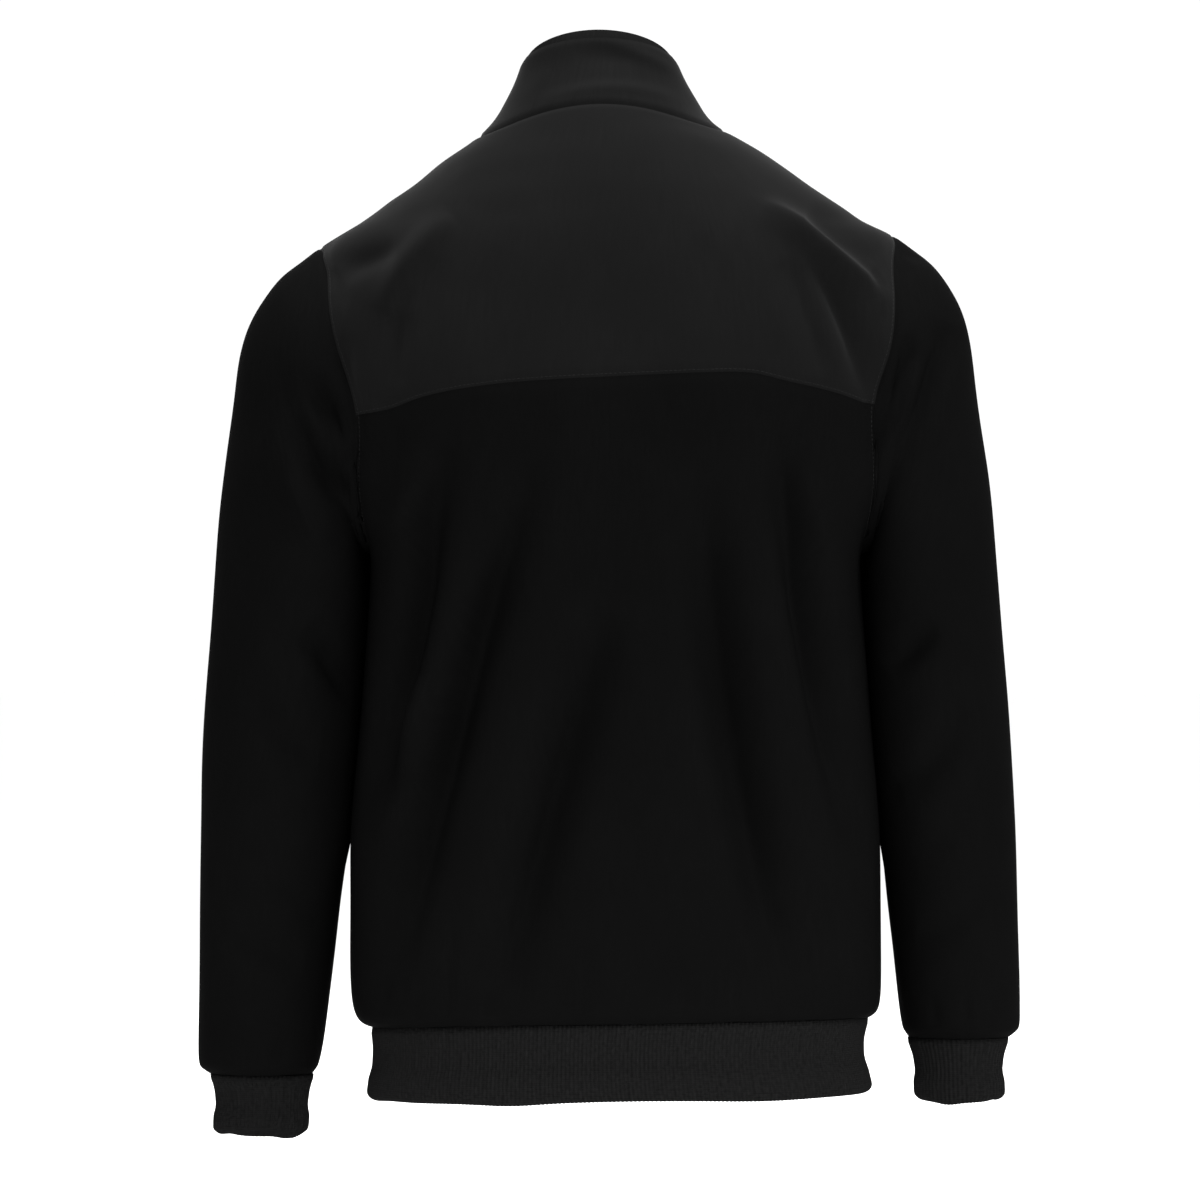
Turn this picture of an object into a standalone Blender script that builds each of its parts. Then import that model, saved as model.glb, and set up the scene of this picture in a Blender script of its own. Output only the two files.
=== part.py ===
"""A zipped track jacket, filled out as if worn, with nothing inside it.

Every cloth piece is a thin wall through a grid of points. The body is a stack of rings, each
a squared ellipse, and its panels are patches of that form between their seams. A sleeve is a
row of rings that fan out from the armhole. Ribs are raised on the outside of the cuffs and hem.

Metres, +Z up. The front faces -Y and the wearer's left is +X. The origin is inside the neck,
level with its base, where the wearer's neck and shoulders hold the jacket.
"""

import math

import bmesh
import bpy
import numpy as np
from mathutils import Matrix, Vector

MM = 0.001
LEFT, RIGHT = 1, -1
FULL_TURN = 2 * math.pi

# Walls
CLOTH = 1.6 * MM
JERSEY = 1.2 * MM
TAPE = 1.0 * MM
RIB_CLOTH = 2.0 * MM
RIB_RAISE = 0.8 * MM
RIB_PITCH = 2.9 * MM
SEAM_GAP = 0.3 * MM
MOST_MITRE = 1.6
SPLIT_WAY = np.array([0.37, 0.21, 1.0])

# Body: one row for each ring, in millimetres
BODY_COLUMNS = ("z", "centre_x", "half_width", "front_y", "back_y", "squareness")
BODY = (
    (-640.0, -7.5, 178.0, -115.5, 113.0, 2.50),
    (-637.5, -7.0, 182.0, -118.0, 115.5, 2.50),
    (-631.5, -6.0, 185.8, -120.5, 118.0, 2.50),
    (-621.0, -5.5, 187.8, -122.5, 120.0, 2.50),
    (-600.0, -5.0, 188.5, -124.5, 121.0, 2.50),
    (-510.0, -4.5, 188.0, -125.0, 117.0, 2.55),
    (-430.0, -4.5, 181.5, -124.0, 114.5, 2.65),
    (-355.0, -4.5, 176.0, -126.0, 116.0, 2.80),
    (-309.0, -4.5, 173.5, -127.0, 119.0, 2.90),
    (-290.0, -4.5, 182.5, -126.5, 120.5, 2.70),
    (-270.0, -4.5, 194.5, -125.0, 121.5, 2.50),
    (-240.0, -4.5, 206.5, -122.0, 122.0, 2.50),
    (-210.0, -4.0, 211.5, -117.0, 121.5, 2.55),
    (-180.0, -3.5, 219.0, -111.0, 119.5, 2.60),
    (-155.0, -3.5, 225.5, -105.0, 117.0, 2.60),
    (-130.0, -3.5, 222.0, -97.0, 113.5, 2.50),
    (-105.0, -3.0, 213.0, -87.0, 109.5, 2.35),
    (-85.0, -2.5, 205.0, -77.0, 105.0, 2.20),
    (-71.0, -3.0, 179.5, -69.5, 100.5, 2.15),
    (-56.0, -2.0, 158.0, -62.0, 95.5, 2.10),
    (-42.0, -2.0, 138.0, -55.0, 89.5, 2.05),
    (-28.0, -0.5, 119.5, -48.5, 82.5, 2.00),
    (-14.0, 0.5, 98.5, -43.0, 74.5, 2.00),
    (0.0, 4.5, 79.0, -38.0, 66.0, 2.00),
    (12.0, 5.0, 70.0, -32.0, 58.0, 2.00),
    (24.0, 5.0, 61.0, -25.0, 50.0, 2.00),
)
HEM_SEAM_Z = BODY[0][0] * MM
NECK_HIGHEST_Z = BODY[-1][0] * MM
HEM_BAND = (
    (-692.5, -8.0, 178.0, -115.5, 114.0, 2.50),
    (-656.0, -6.8, 174.2, -112.0, 110.0, 2.50),
    (-640.3, -8.0, 175.8, -114.0, 111.5, 2.50),
)
# How far the hem sits above those heights at the centre back, and below them on the left
HEM_HANG_COLUMNS = ("z", "back_lift", "left_drop")
HEM_HANG = (
    (-692.5, 3.0, 3.0),
    (-656.0, 4.0, 3.5),
    (-640.0, 4.5, 3.5),
    (-600.0, 3.0, 2.5),
    (-540.0, 0.0, 0.0),
)

# Seams of the body
UNDERARM_Z = -309 * MM
ARMHOLE_TOP_Z = {LEFT: -88 * MM, RIGHT: -78.5 * MM}
ARMHOLE_BACK_DEPTH = 78 * MM
ARMHOLE_FRONT_DEPTH = 70 * MM
SHOULDER_SEAM_Y = -6 * MM
NECK_HALF_WIDTH = 79 * MM
NECK_BACK_Y = 54 * MM
NECK_FRONT_Y = -62 * MM
ZIP_HALF_GAP = 4 * MM
YOKE_SEAM_COLUMNS = ("x", "z")
YOKE_SEAM = (
    (-184, -202.0),
    (-157, -193.5),
    (-126, -186.5),
    (-92, -180.0),
    (-8, -183.0),
    (64, -187.0),
    (106, -192.0),
    (138, -199.5),
    (150, -204.5),
    (180, -210.0),
)
SIDE_LEVELS = (-309, -345, -385, -425, -465, -505, -545, -583, -611, -627, -635.5, -640)

# Sleeves: one row for each ring, in millimetres, outward from the armhole
SLEEVE_COLUMNS = ("outer_x", "outer_z", "inner_x", "inner_z", "centre_y", "half_depth")
SLEEVES = {
    LEFT: (
        (206.5, -88, 169.0, -309, 4, 74.0),
        (236.0, -113, 176.0, -305, 2, 75.0),
        (260.5, -156, 173.6, -321, 1, 72.0),
        (269.0, -208, 173.6, -344, -1, 67.0),
        (277.8, -285, 175.8, -380, -4, 61.5),
        (285.3, -375, 179.3, -430, -8, 57.0),
        (290.6, -460, 184.7, -492, -12, 53.0),
        (291.6, -535, 192.8, -552, -16, 49.5),
        (292.8, -605, 199.5, -610, -20, 46.5),
        (294.2, -655, 205.4, -655, -23, 43.5),
        (293.6, -671, 209.0, -671, -24.5, 39.0),
        (286.6, -679, 213.6, -679, -25, 29.0),
    ),
    RIGHT: (
        (197.5, -78.5, 178.0, -309, 4, 74.0),
        (231.8, -103, 187.0, -303, 2, 75.0),
        (254.4, -143, 183.2, -321, 1, 72.0),
        (262.8, -200, 183.0, -344, -1, 67.0),
        (272.4, -267, 184.9, -380, -4, 61.5),
        (280.4, -360, 188.2, -425, -8, 57.0),
        (287.2, -445, 192.8, -480, -12, 53.0),
        (290.8, -515, 198.4, -535, -16, 49.5),
        (293.0, -580, 204.6, -588, -20, 46.5),
        (294.2, -628, 208.8, -628, -23, 43.5),
        (293.8, -644, 211.4, -644, -24.5, 39.0),
        (286.8, -652.6, 216.0, -652.6, -25, 29.0),
    ),
}
# Steps from the armhole within which a sleeve is drawn in to the seam, and has no whole folds
SLEEVE_DRAWN_STEPS = 1.4
SLEEVE_CALM_STEPS = 0.9
CUFF_COLUMNS = ("z", "outer_x", "inner_x", "centre_y", "half_depth")
CUFFS = {
    LEFT: (
        (-679.3, 285.0, 213.0, -25, 28.5),
        (-698.0, 281.3, 217.0, -27, 26.0),
        (-722.0, 281.9, 218.8, -29, 25.5),
    ),
    RIGHT: (
        (-652.9, 285.6, 215.6, -25, 28.5),
        (-671.0, 281.9, 220.2, -27, 26.0),
        (-698.0, 281.4, 222.8, -29, 25.5),
    ),
}

# Collar
COLLAR_TOP_CENTRE_X = 6.8 * MM
COLLAR_TOP_HALF_WIDTH = 54.8 * MM
COLLAR_TOP_BACK_Y = 37 * MM
COLLAR_TOP_FRONT_Y = -75 * MM
COLLAR_TOP_BACK_Z = 60.0 * MM
COLLAR_TOP_SIDE_Z = 42.5 * MM
COLLAR_TOP_FRONT_Z = -12 * MM
COLLAR_WAIST = 2.5 * MM
FACING_ROLL = 6.5 * MM
FACING_ROLL_FADE = 0.6
FACING_START = 0.14

# Zip
TAPE_WIDTH = 12 * MM
TAPE_END_INSET = 1.5 * MM
BODY_OVER_HEM = 1.2 * MM
SLIDER_BELOW_TOP = 9 * MM
SLIDER_LIFT = 0.5 * MM
SLIDER_SIZE = (6.8 * MM, 9.5 * MM, 4.0 * MM)
BRIDGE_SIZE = (1.8 * MM, 5.6 * MM, 3.9 * MM)
BRIDGE_THICK = 1.0 * MM
PIVOT_ABOVE_SLIDER = 1.5 * MM
PULL_SIZE = (6.2 * MM, 28 * MM, 1.4 * MM)
PULL_SLOT = (3.2 * MM, 5.2 * MM)

# Grid sizes: numbers of strips
YOKE_COLUMNS = 26
SHOULDER_ROWS = 6
ARMHOLE_YOKE_ROWS = 5
ARMHOLE_BACK_ROWS = 4
ARMHOLE_FRONT_ROWS = 9
FRONT_COLUMNS = 8
COLLAR_RISES = (1.0, 0.67, 0.34, 0.0)
FACING_FRONT_COLUMNS = 2
SLEEVE_STEPS = (0, 0.33, 0.67, 1, 1.5, 2, 2.5, 3, 3.5, 4, 4.5, 5, 5.5, 6, 6.5, 7, 7.5, 8, 8.6, 9.2, 10, 10.5, 11)
RIB_INSIDE_STEP = 8

# Folds in the cloth, in millimetres. Each runs through three points, seen square on; a depth
# above 0 is a trough and below 0 a ridge.
FOLD_COLUMNS = ("x1", "z1", "x2", "z2", "x3", "z3", "width", "depth")
BACK_FOLDS = (
    (112, -222, 141, -345, 170, -495, 14, 7.0),
    (46, -226, 104, -403, 158, -615, 17, 7.5),
    (4, -339, 40, -480, 82, -622, 19, 7.0),
    (-64, -250, -84, -416, -129, -622, 18, 7.0),
    (-114, -214, -142, -339, -176, -520, 15, 7.5),
    (124, -234, 138, -262, 148, -292, 12, -3.5),
    (129, -390, 136, -430, 141, -470, 13, -4.0),
    (-131, -243, -140, -275, -149, -311, 12, -3.5),
    (109, -68, 140, -101, 160, -140, 11, -4.5),
    (150, -88, 172, -98, 194, -106, 11, 4.5),
    (147, -135, 150, -160, 152, -192, 12, 3.0),
    (-104, -60, -147, -89, -191, -125, 10, -5.5),
    (-138, -66, -162, -82, -187, -106, 12, 5.0),
    (-142, -96, -168, -142, -184, -200, 11, 6.0),
    (-124, -98, -138, -138, -151, -184, 12, 3.0),
)
FRONT_FOLDS = (
    (116, -160, 132, -290, 150, -430, 16, 6.5),
    (70, -210, 92, -380, 130, -600, 18, 7.0),
    (34, -330, 44, -470, 66, -615, 16, 5.5),
    (-122, -150, -134, -300, -158, -470, 16, 7.0),
    (-76, -190, -88, -390, -124, -600, 18, 6.5),
    (-36, -300, -50, -450, -58, -610, 16, 5.0),
    (96, -72, 128, -100, 160, -150, 12, -4.5),
    (-92, -70, -132, -104, -166, -158, 12, -4.5),
)
SLEEVE_BACK_FOLDS = {
    LEFT: (
        (213, -187, 197, -208, 180, -232, 10, 5.5),
        (231, -199, 204, -248, 181, -262, 11, 6.5),
        (226, -249, 214, -278, 198, -304, 12, -4.0),
        (214, -356, 198, -380, 181, -409, 11, 5.0),
        (262, -400, 236, -432, 204, -446, 14, 5.0),
        (276, -560, 250, -585, 214, -596, 14, 4.0),
    ),
    RIGHT: (
        (243, -142, 226, -190, 198, -243, 12, 6.5),
        (215, -155, 204, -179, 187, -209, 10, 4.0),
        (222, -169, 209, -206, 194, -238, 10, -4.0),
        (234, -358, 214, -374, 194, -388, 11, 5.0),
        (256, -418, 232, -450, 204, -470, 14, 5.0),
        (274, -540, 248, -566, 216, -574, 14, 4.0),
    ),
}
SLEEVE_FRONT_FOLDS = {
    LEFT: (
        (232, -160, 214, -206, 190, -246, 12, 6.0),
        (256, -226, 226, -262, 196, -282, 12, 4.5),
        (268, -352, 234, -384, 194, -398, 13, 7.0),
        (264, -410, 232, -430, 198, -432, 13, 6.0),
        (272, -500, 244, -530, 208, -540, 14, 4.0),
    ),
    RIGHT: (
        (238, -150, 218, -196, 194, -240, 12, 6.0),
        (254, -214, 228, -250, 200, -276, 12, 4.5),
        (264, -340, 232, -372, 200, -384, 13, 7.0),
        (260, -398, 230, -418, 204, -424, 13, 6.0),
        (272, -486, 244, -512, 210, -520, 14, 4.0),
    ),
}
HEM_FADE = 34 * MM
ZIP_FADE = 22 * MM
FOLD_END_FADE = 0.7
# The cloth's facing, as the y of its normal, where a fold is lost and where it is whole
FOLD_LOST_AT, FOLD_WHOLE_AT = 0.05, 0.50

# Colours, linear, with roughness
FINISHES = {
    "charcoal_softshell": ((0.032, 0.032, 0.034), 0.85, 0.0),
    "black_softshell": ((0.006, 0.006, 0.007), 0.80, 0.0),
    "black_rib": ((0.010, 0.010, 0.011), 0.90, 0.0),
    "black_jersey": ((0.008, 0.008, 0.009), 0.90, 0.0),
    "zip_tape": ((0.007, 0.007, 0.007), 0.75, 0.0),
    "gunmetal": ((0.060, 0.060, 0.063), 0.35, 1.0),
}


def column_table(rows, names):
    """The rows' columns by name, in metres; squareness has no unit."""
    values = np.array(rows, float).T
    return {name: column if name == "squareness" else column * MM for name, column in zip(names, values)}


def smooth_through(knots, values, at):
    """A cubic through the values that never overshoots them. The knots rise."""
    steps = np.diff(knots)
    slopes = np.diff(values) / steps
    ends = np.zeros(len(values))
    ends[0], ends[-1] = slopes[0], slopes[-1]
    same_way = slopes[:-1] * slopes[1:] > 0
    inner = np.zeros(len(slopes) - 1)
    total = slopes[:-1] + slopes[1:]
    inner[same_way] = 2 * slopes[:-1][same_way] * slopes[1:][same_way] / total[same_way]
    ends[1:-1] = inner
    at = np.clip(at, knots[0], knots[-1])
    left = np.clip(np.searchsorted(knots, at, side="right") - 1, 0, len(steps) - 1)
    step = steps[left]
    s = (at - knots[left]) / step
    return (
        values[left] * (1 + 2 * s) * (1 - s) ** 2
        + values[left + 1] * s**2 * (3 - 2 * s)
        + step * s * (1 - s) * (ends[left] * (1 - s) - ends[left + 1] * s)
    )


def smooth_step(x):
    x = np.clip(x, 0, 1)
    return x * x * (3 - 2 * x)


def signed_power(x, power):
    return np.sign(x) * np.abs(x) ** power


def unit(vectors):
    return vectors / np.linalg.norm(vectors, axis=-1, keepdims=True)


def surface_normals(surface, along, down, nudge=1e-4):
    """Outward normals where surface takes (along, down), with along turning left and down
    falling as the second value falls."""
    across = surface(along + nudge, down) - surface(along - nudge, down)
    falling = surface(along, down - nudge) - surface(along, down + nudge)
    return unit(np.cross(across, falling))


# ---- Folds ----


def fold_path(fold, points=14):
    """A smooth line through the fold's three points, as seen square on."""
    start, middle, end = (np.array([fold["x" + n], fold["z" + n]]) * MM for n in "123")
    bend = 2 * middle - (start + end) / 2
    s = np.linspace(0, 1, points)[:, None]
    return (1 - s) ** 2 * start + 2 * s * (1 - s) * bend + s**2 * end


def fold_height(folds, x, z):
    """How far the folds push the cloth out at each place, seen square on."""
    height = np.zeros_like(x)
    place = np.stack([x, z], axis=-1)[..., None, :]
    for row in folds:
        fold = dict(zip(FOLD_COLUMNS, row))
        path = fold_path(fold)
        width, depth = fold["width"] * MM, fold["depth"] * MM
        start, run = path[:-1], np.diff(path, axis=0)
        part = np.clip(((place - start) * run).sum(-1) / (run**2).sum(-1), 0, 1)
        away = np.linalg.norm(place - start - part[..., None] * run, axis=-1)
        nearest = away.argmin(-1)
        along = (nearest + np.take_along_axis(part, nearest[..., None], -1)[..., 0]) / len(run)
        fade = np.sin(math.pi * np.clip(along, 0.02, 0.98)) ** FOLD_END_FADE
        height -= depth * fade * np.exp(-((away.min(-1) / width) ** 2))
    return height


def facing(normals, way):
    """1 where the cloth faces the back (way 1) or the front (way -1), fading round the sides."""
    return smooth_step((way * normals[..., 1] - FOLD_LOST_AT) / (FOLD_WHOLE_AT - FOLD_LOST_AT))


# ---- Body form ----


class Form:
    """A stack of squared ellipses. turn is 0 at the centre back, positive towards the
    wearer's left, and half a turn at the centre front."""

    def __init__(self, rows):
        self.rows = column_table(rows, BODY_COLUMNS)

    def ring(self, z):
        z = np.asarray(z, float)
        return {name: smooth_through(self.rows["z"], self.rows[name], z) for name in BODY_COLUMNS[1:]}

    def point(self, turn, z):
        turn, z = np.broadcast_arrays(np.asarray(turn, float), np.asarray(z, float))
        ring = self.ring(z)
        power = 2 / ring["squareness"]
        depth = np.where(np.cos(turn) >= 0, ring["back_y"], -ring["front_y"])
        x = ring["centre_x"] + ring["half_width"] * signed_power(np.sin(turn), power)
        y = depth * signed_power(np.cos(turn), power)
        return np.stack([x, y, z], axis=-1)

    def turn_at_y(self, y, z, side):
        ring = self.ring(z)
        depth = np.where(np.asarray(y) >= 0, ring["back_y"], -ring["front_y"])
        cosine = signed_power(np.clip(y / depth, -1, 1), ring["squareness"] / 2)
        return side * np.arccos(cosine)

    def front_turn(self, x, z, side):
        """The turn at a distance x from the centre front line."""
        ring = self.ring(z)
        return side * (math.pi - np.arcsin((x / ring["half_width"]) ** (ring["squareness"] / 2)))


body = Form(BODY)
hem = Form(HEM_BAND)


def hang(points, turn):
    """Lifts the cloth at the back of the hem and lets it drop on the left."""
    levels = column_table(HEM_HANG, HEM_HANG_COLUMNS)
    lift = smooth_through(levels["z"], levels["back_lift"], points[..., 2])
    drop = smooth_through(levels["z"], levels["left_drop"], points[..., 2])
    moved = points.copy()
    moved[..., 2] += lift * np.maximum(np.cos(turn), 0) - drop * np.sin(turn)
    return moved


def hem_cloth(turn, z):
    return hang(hem.point(turn, z), turn)


def body_cloth(turn, z):
    """The body with its folds, which die out at the sides, the hem and the zip."""
    points = body.point(turn, z)
    normals = surface_normals(body.point, turn, z)
    x, height = points[..., 0], points[..., 2]
    calm = smooth_step((height - HEM_SEAM_Z) / HEM_FADE)
    back = fold_height(BACK_FOLDS, x, height) * facing(normals, 1)
    front = fold_height(FRONT_FOLDS, x, height) * facing(normals, -1)
    centre = np.abs(x - body.ring(height)["centre_x"])
    front = front * smooth_step((centre - ZIP_HALF_GAP) / ZIP_FADE)
    return hang(points + normals * ((back + front) * calm)[..., None], turn)


# ---- Seams, as (turn, z) ----


def armhole(angle, side):
    """The armhole seam: angle 0 at the shoulder, positive towards the back."""
    angle = np.asarray(angle, float)
    top = ARMHOLE_TOP_Z[side]
    z = (top + UNDERARM_Z) / 2 + (top - UNDERARM_Z) / 2 * np.cos(angle)
    depth = np.where(np.sin(angle) >= 0, ARMHOLE_BACK_DEPTH, ARMHOLE_FRONT_DEPTH)
    return np.stack([body.turn_at_y(depth * np.sin(angle), z, side), z], axis=-1)


def neckline(angle):
    """The neck seam, by its angle seen from above: 0 at the back, positive to the left."""
    angle = np.asarray(angle, float)
    x = NECK_HALF_WIDTH * np.abs(np.sin(angle))
    y = np.where(np.cos(angle) >= 0, NECK_BACK_Y, -NECK_FRONT_Y) * np.cos(angle)
    low = np.full(angle.shape, UNDERARM_Z)
    high = np.full(angle.shape, NECK_HIGHEST_Z)
    for _ in range(50):
        middle = (low + high) / 2
        ring = body.ring(middle)
        depth = np.where(y >= 0, ring["back_y"], -ring["front_y"])
        power = ring["squareness"]
        inside = (x / ring["half_width"]) ** power + (np.abs(y) / depth) ** power < 1
        low = np.where(inside, middle, low)
        high = np.where(inside, high, middle)
    side = np.where(np.sin(angle) >= 0, LEFT, RIGHT)
    return np.stack([body.turn_at_y(y, low, side), low], axis=-1)


def yoke_z(x):
    seam = column_table(YOKE_SEAM, YOKE_SEAM_COLUMNS)
    return smooth_through(seam["x"], seam["z"], x)


def yoke_corner(side):
    """The armhole angle where the yoke seam meets it."""
    low, high = 0.5, math.pi - 0.5
    for _ in range(50):
        middle = (low + high) / 2
        turn, z = armhole(middle, side)
        above = z > yoke_z(body_cloth(turn, z)[0])
        low, high = (middle, high) if above else (low, middle)
    return low


def yoke_seam(turns, ends_z):
    """The seam across the back, from its right end to its left."""
    z = np.linspace(ends_z[0], ends_z[1], len(turns))
    for _ in range(6):
        z = yoke_z(body.point(turns, z)[:, 0])
    z[0], z[-1] = ends_z
    return np.stack([turns, z], axis=-1)


SHOULDER_ANGLE = -math.asin(-SHOULDER_SEAM_Y / ARMHOLE_FRONT_DEPTH)
NECK_SHOULDER_ANGLE = math.pi / 2 + math.asin(SHOULDER_SEAM_Y / NECK_FRONT_Y)
NECK_ZIP_ANGLE = math.pi - math.asin(ZIP_HALF_GAP / NECK_HALF_WIDTH)
YOKE_ANGLE = {side: yoke_corner(side) for side in (LEFT, RIGHT)}


def armhole_angles(side):
    """Three runs of armhole angles: along the yoke, the back body and the front."""
    yoke = np.linspace(SHOULDER_ANGLE, YOKE_ANGLE[side], ARMHOLE_YOKE_ROWS + 1)
    back = np.linspace(YOKE_ANGLE[side], math.pi, ARMHOLE_BACK_ROWS + 1)
    front = np.linspace(SHOULDER_ANGLE, -math.pi, ARMHOLE_FRONT_ROWS + 1)
    return yoke, back, front


def shoulder_seam(side):
    """From the neck to the armhole."""
    start = neckline(side * NECK_SHOULDER_ANGLE)[1]
    end = armhole(SHOULDER_ANGLE, side)[1]
    z = np.linspace(start, end, SHOULDER_ROWS + 1)
    return np.stack([body.turn_at_y(SHOULDER_SEAM_Y, z, side), z], axis=-1)


def side_seam(side):
    z = np.array(SIDE_LEVELS) * MM
    return np.stack([np.full(len(z), side * math.pi / 2), z], axis=-1)


def join_runs(*runs):
    """Runs end to end, each sharing its first place with the last place before it."""
    return np.concatenate([runs[0]] + [run[1:] for run in runs[1:]])


def patch(top, bottom, first, last):
    """A grid between four seams: first and last run down its two sides."""
    down = np.linspace(0, 1, len(first))[:, None, None]
    across = np.linspace(0, 1, len(top))[None, :, None]
    corners = (1 - down) * ((1 - across) * top[0] + across * top[-1])
    corners = corners + down * ((1 - across) * bottom[0] + across * bottom[-1])
    sides = (1 - across) * first[:, None] + across * last[:, None]
    return (1 - down) * top[None] + down * bottom[None] + sides - corners


# ---- Panels of the body, as grids of points whose columns turn left and whose rows fall ----


def cloth_grid(places):
    return body_cloth(places[..., 0], places[..., 1])


def yoke_grid():
    sides = {}
    for side in (LEFT, RIGHT):
        yoke_run, _, _ = armhole_angles(side)
        sides[side] = join_runs(shoulder_seam(side), armhole(yoke_run, side))
    top = neckline(np.linspace(-NECK_SHOULDER_ANGLE, NECK_SHOULDER_ANGLE, YOKE_COLUMNS + 1))
    return cloth_grid(patch(top, yoke_bottom(), sides[RIGHT], sides[LEFT]))


def yoke_bottom():
    ends = [armhole(YOKE_ANGLE[side], side) for side in (RIGHT, LEFT)]
    turns = np.linspace(ends[0][0], ends[1][0], YOKE_COLUMNS + 1)
    return yoke_seam(turns, (ends[0][1], ends[1][1]))


def back_grid():
    sides = {}
    for side in (LEFT, RIGHT):
        _, back_run, _ = armhole_angles(side)
        sides[side] = join_runs(armhole(back_run, side), side_seam(side))
    bottom_turns = np.linspace(-math.pi / 2, math.pi / 2, YOKE_COLUMNS + 1)
    bottom = np.stack([bottom_turns, np.full(len(bottom_turns), HEM_SEAM_Z)], axis=-1)
    return cloth_grid(patch(yoke_bottom(), bottom, sides[RIGHT], sides[LEFT]))


def zip_edge_levels(outer):
    """Heights down the zip edge that match the rows of the outer edge below the underarm."""
    start = neckline(NECK_ZIP_ANGLE)[1]
    above = SHOULDER_ROWS + ARMHOLE_FRONT_ROWS
    return np.concatenate([np.linspace(start, outer[above, 1], above + 1), outer[above + 1 :, 1]])


def front_grid(side):
    _, _, front_run = armhole_angles(side)
    outer = join_runs(shoulder_seam(side), armhole(front_run, side), side_seam(side))
    z = zip_edge_levels(outer)
    inner = np.stack([body.front_turn(ZIP_HALF_GAP, z, side), z], axis=-1)
    angles = side * np.linspace(NECK_SHOULDER_ANGLE, NECK_ZIP_ANGLE, FRONT_COLUMNS + 1)
    turns = np.linspace(outer[-1, 0], inner[-1, 0], FRONT_COLUMNS + 1)
    bottom = np.stack([turns, np.full(len(turns), HEM_SEAM_Z)], axis=-1)
    grid = cloth_grid(patch(neckline(angles), bottom, outer, inner))
    return grid if side == LEFT else grid[:, ::-1]


# ---- Sleeves ----


class Sleeve:
    def __init__(self, side):
        self.side = side
        self.rows = column_table(SLEEVES[side], SLEEVE_COLUMNS)
        self.steps = np.arange(len(SLEEVES[side]), dtype=float)

    def ring_point(self, angle, step):
        angle, step = np.broadcast_arrays(np.asarray(angle, float), np.asarray(step, float))
        row = {name: smooth_through(self.steps, self.rows[name], step) for name in SLEEVE_COLUMNS}
        out, along = np.sin(angle), np.cos(angle)
        x = (row["outer_x"] + row["inner_x"]) / 2 + along * (row["outer_x"] - row["inner_x"]) / 2
        z = (row["outer_z"] + row["inner_z"]) / 2 + along * (row["outer_z"] - row["inner_z"]) / 2
        y = row["centre_y"] + out * row["half_depth"]
        return np.stack([self.side * x, y, z], axis=-1)

    def point(self, angle, step):
        """A ring's point, drawn in to the armhole near its first ring."""
        points = self.ring_point(angle, step)
        places = armhole(angle, self.side)
        seam = body_cloth(places[..., 0], places[..., 1])
        pull = np.clip(1 - np.asarray(step) / SLEEVE_DRAWN_STEPS, 0, 1) ** 2
        return points + (seam - self.ring_point(angle, 0.0)) * pull[..., None]

    def cloth(self, angle, step):
        points = self.point(angle, step)
        nudge = 1e-3
        around = self.point(angle + nudge, step) - self.point(angle - nudge, step)
        outward = self.point(angle, step + nudge) - self.point(angle, step - nudge)
        normals = unit(np.cross(around, outward)) * -self.side
        x, z = points[..., 0] * self.side, points[..., 2]
        back = fold_height(SLEEVE_BACK_FOLDS[self.side], x, z) * facing(normals, 1)
        front = fold_height(SLEEVE_FRONT_FOLDS[self.side], x, z) * facing(normals, -1)
        step = np.asarray(step)
        calm = smooth_step(step / SLEEVE_CALM_STEPS) * smooth_step(self.steps[-2] - step)
        return points + normals * ((back + front) * calm)[..., None]

    def grid(self):
        yoke_run, back_run, front_run = armhole_angles(self.side)
        angles = join_runs(yoke_run, back_run, front_run[::-1] + FULL_TURN)[:-1]
        angle, step = np.meshgrid(angles, SLEEVE_STEPS)
        points = self.cloth(angle, step)
        places = armhole(angles, self.side)
        points[0] = body_cloth(places[:, 0], places[:, 1])
        return points[:, ::-1] if self.side == LEFT else points


# ---- Collar ----


def collar_point(angle, rise):
    """rise is 0 at the neck seam and 1 at the top edge. angle is as in neckline."""
    angle, rise = np.broadcast_arrays(np.asarray(angle, float), np.asarray(rise, float))
    places = neckline(angle)
    base = body_cloth(places[..., 0], places[..., 1])
    cosine, sine = np.cos(angle), np.sin(angle)
    back, front = np.maximum(cosine, 0), np.maximum(-cosine, 0)
    zip_width = (NECK_HALF_WIDTH - COLLAR_TOP_HALF_WIDTH) * (1 - np.abs(sine)) ** 2 * front
    top = np.stack(
        [
            COLLAR_TOP_CENTRE_X * (1 - front**2) + (COLLAR_TOP_HALF_WIDTH + zip_width) * sine,
            COLLAR_TOP_BACK_Y * back + COLLAR_TOP_FRONT_Y * front,
            COLLAR_TOP_SIDE_Z
            + (COLLAR_TOP_BACK_Z - COLLAR_TOP_SIDE_Z) * back
            + (COLLAR_TOP_FRONT_Z - COLLAR_TOP_SIDE_Z) * front,
        ],
        axis=-1,
    )
    inward = np.stack([-sine, -cosine, np.zeros_like(sine)], axis=-1)
    waist = COLLAR_WAIST * np.sin(math.pi * np.clip(rise, 0, 1))
    return base + (top - base) * rise[..., None] + inward * waist[..., None]


def collar_angles():
    front = np.linspace(NECK_SHOULDER_ANGLE, NECK_ZIP_ANGLE, FRONT_COLUMNS + 1)
    back = np.linspace(-NECK_SHOULDER_ANGLE, NECK_SHOULDER_ANGLE, YOKE_COLUMNS + 1)
    return join_runs(-front[::-1], back, front)


def collar_grid():
    angles = collar_angles()
    grid = collar_point(*np.meshgrid(angles, COLLAR_RISES))
    places = neckline(angles)
    grid[-1] = body_cloth(places[:, 0], places[:, 1])
    return grid


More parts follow.
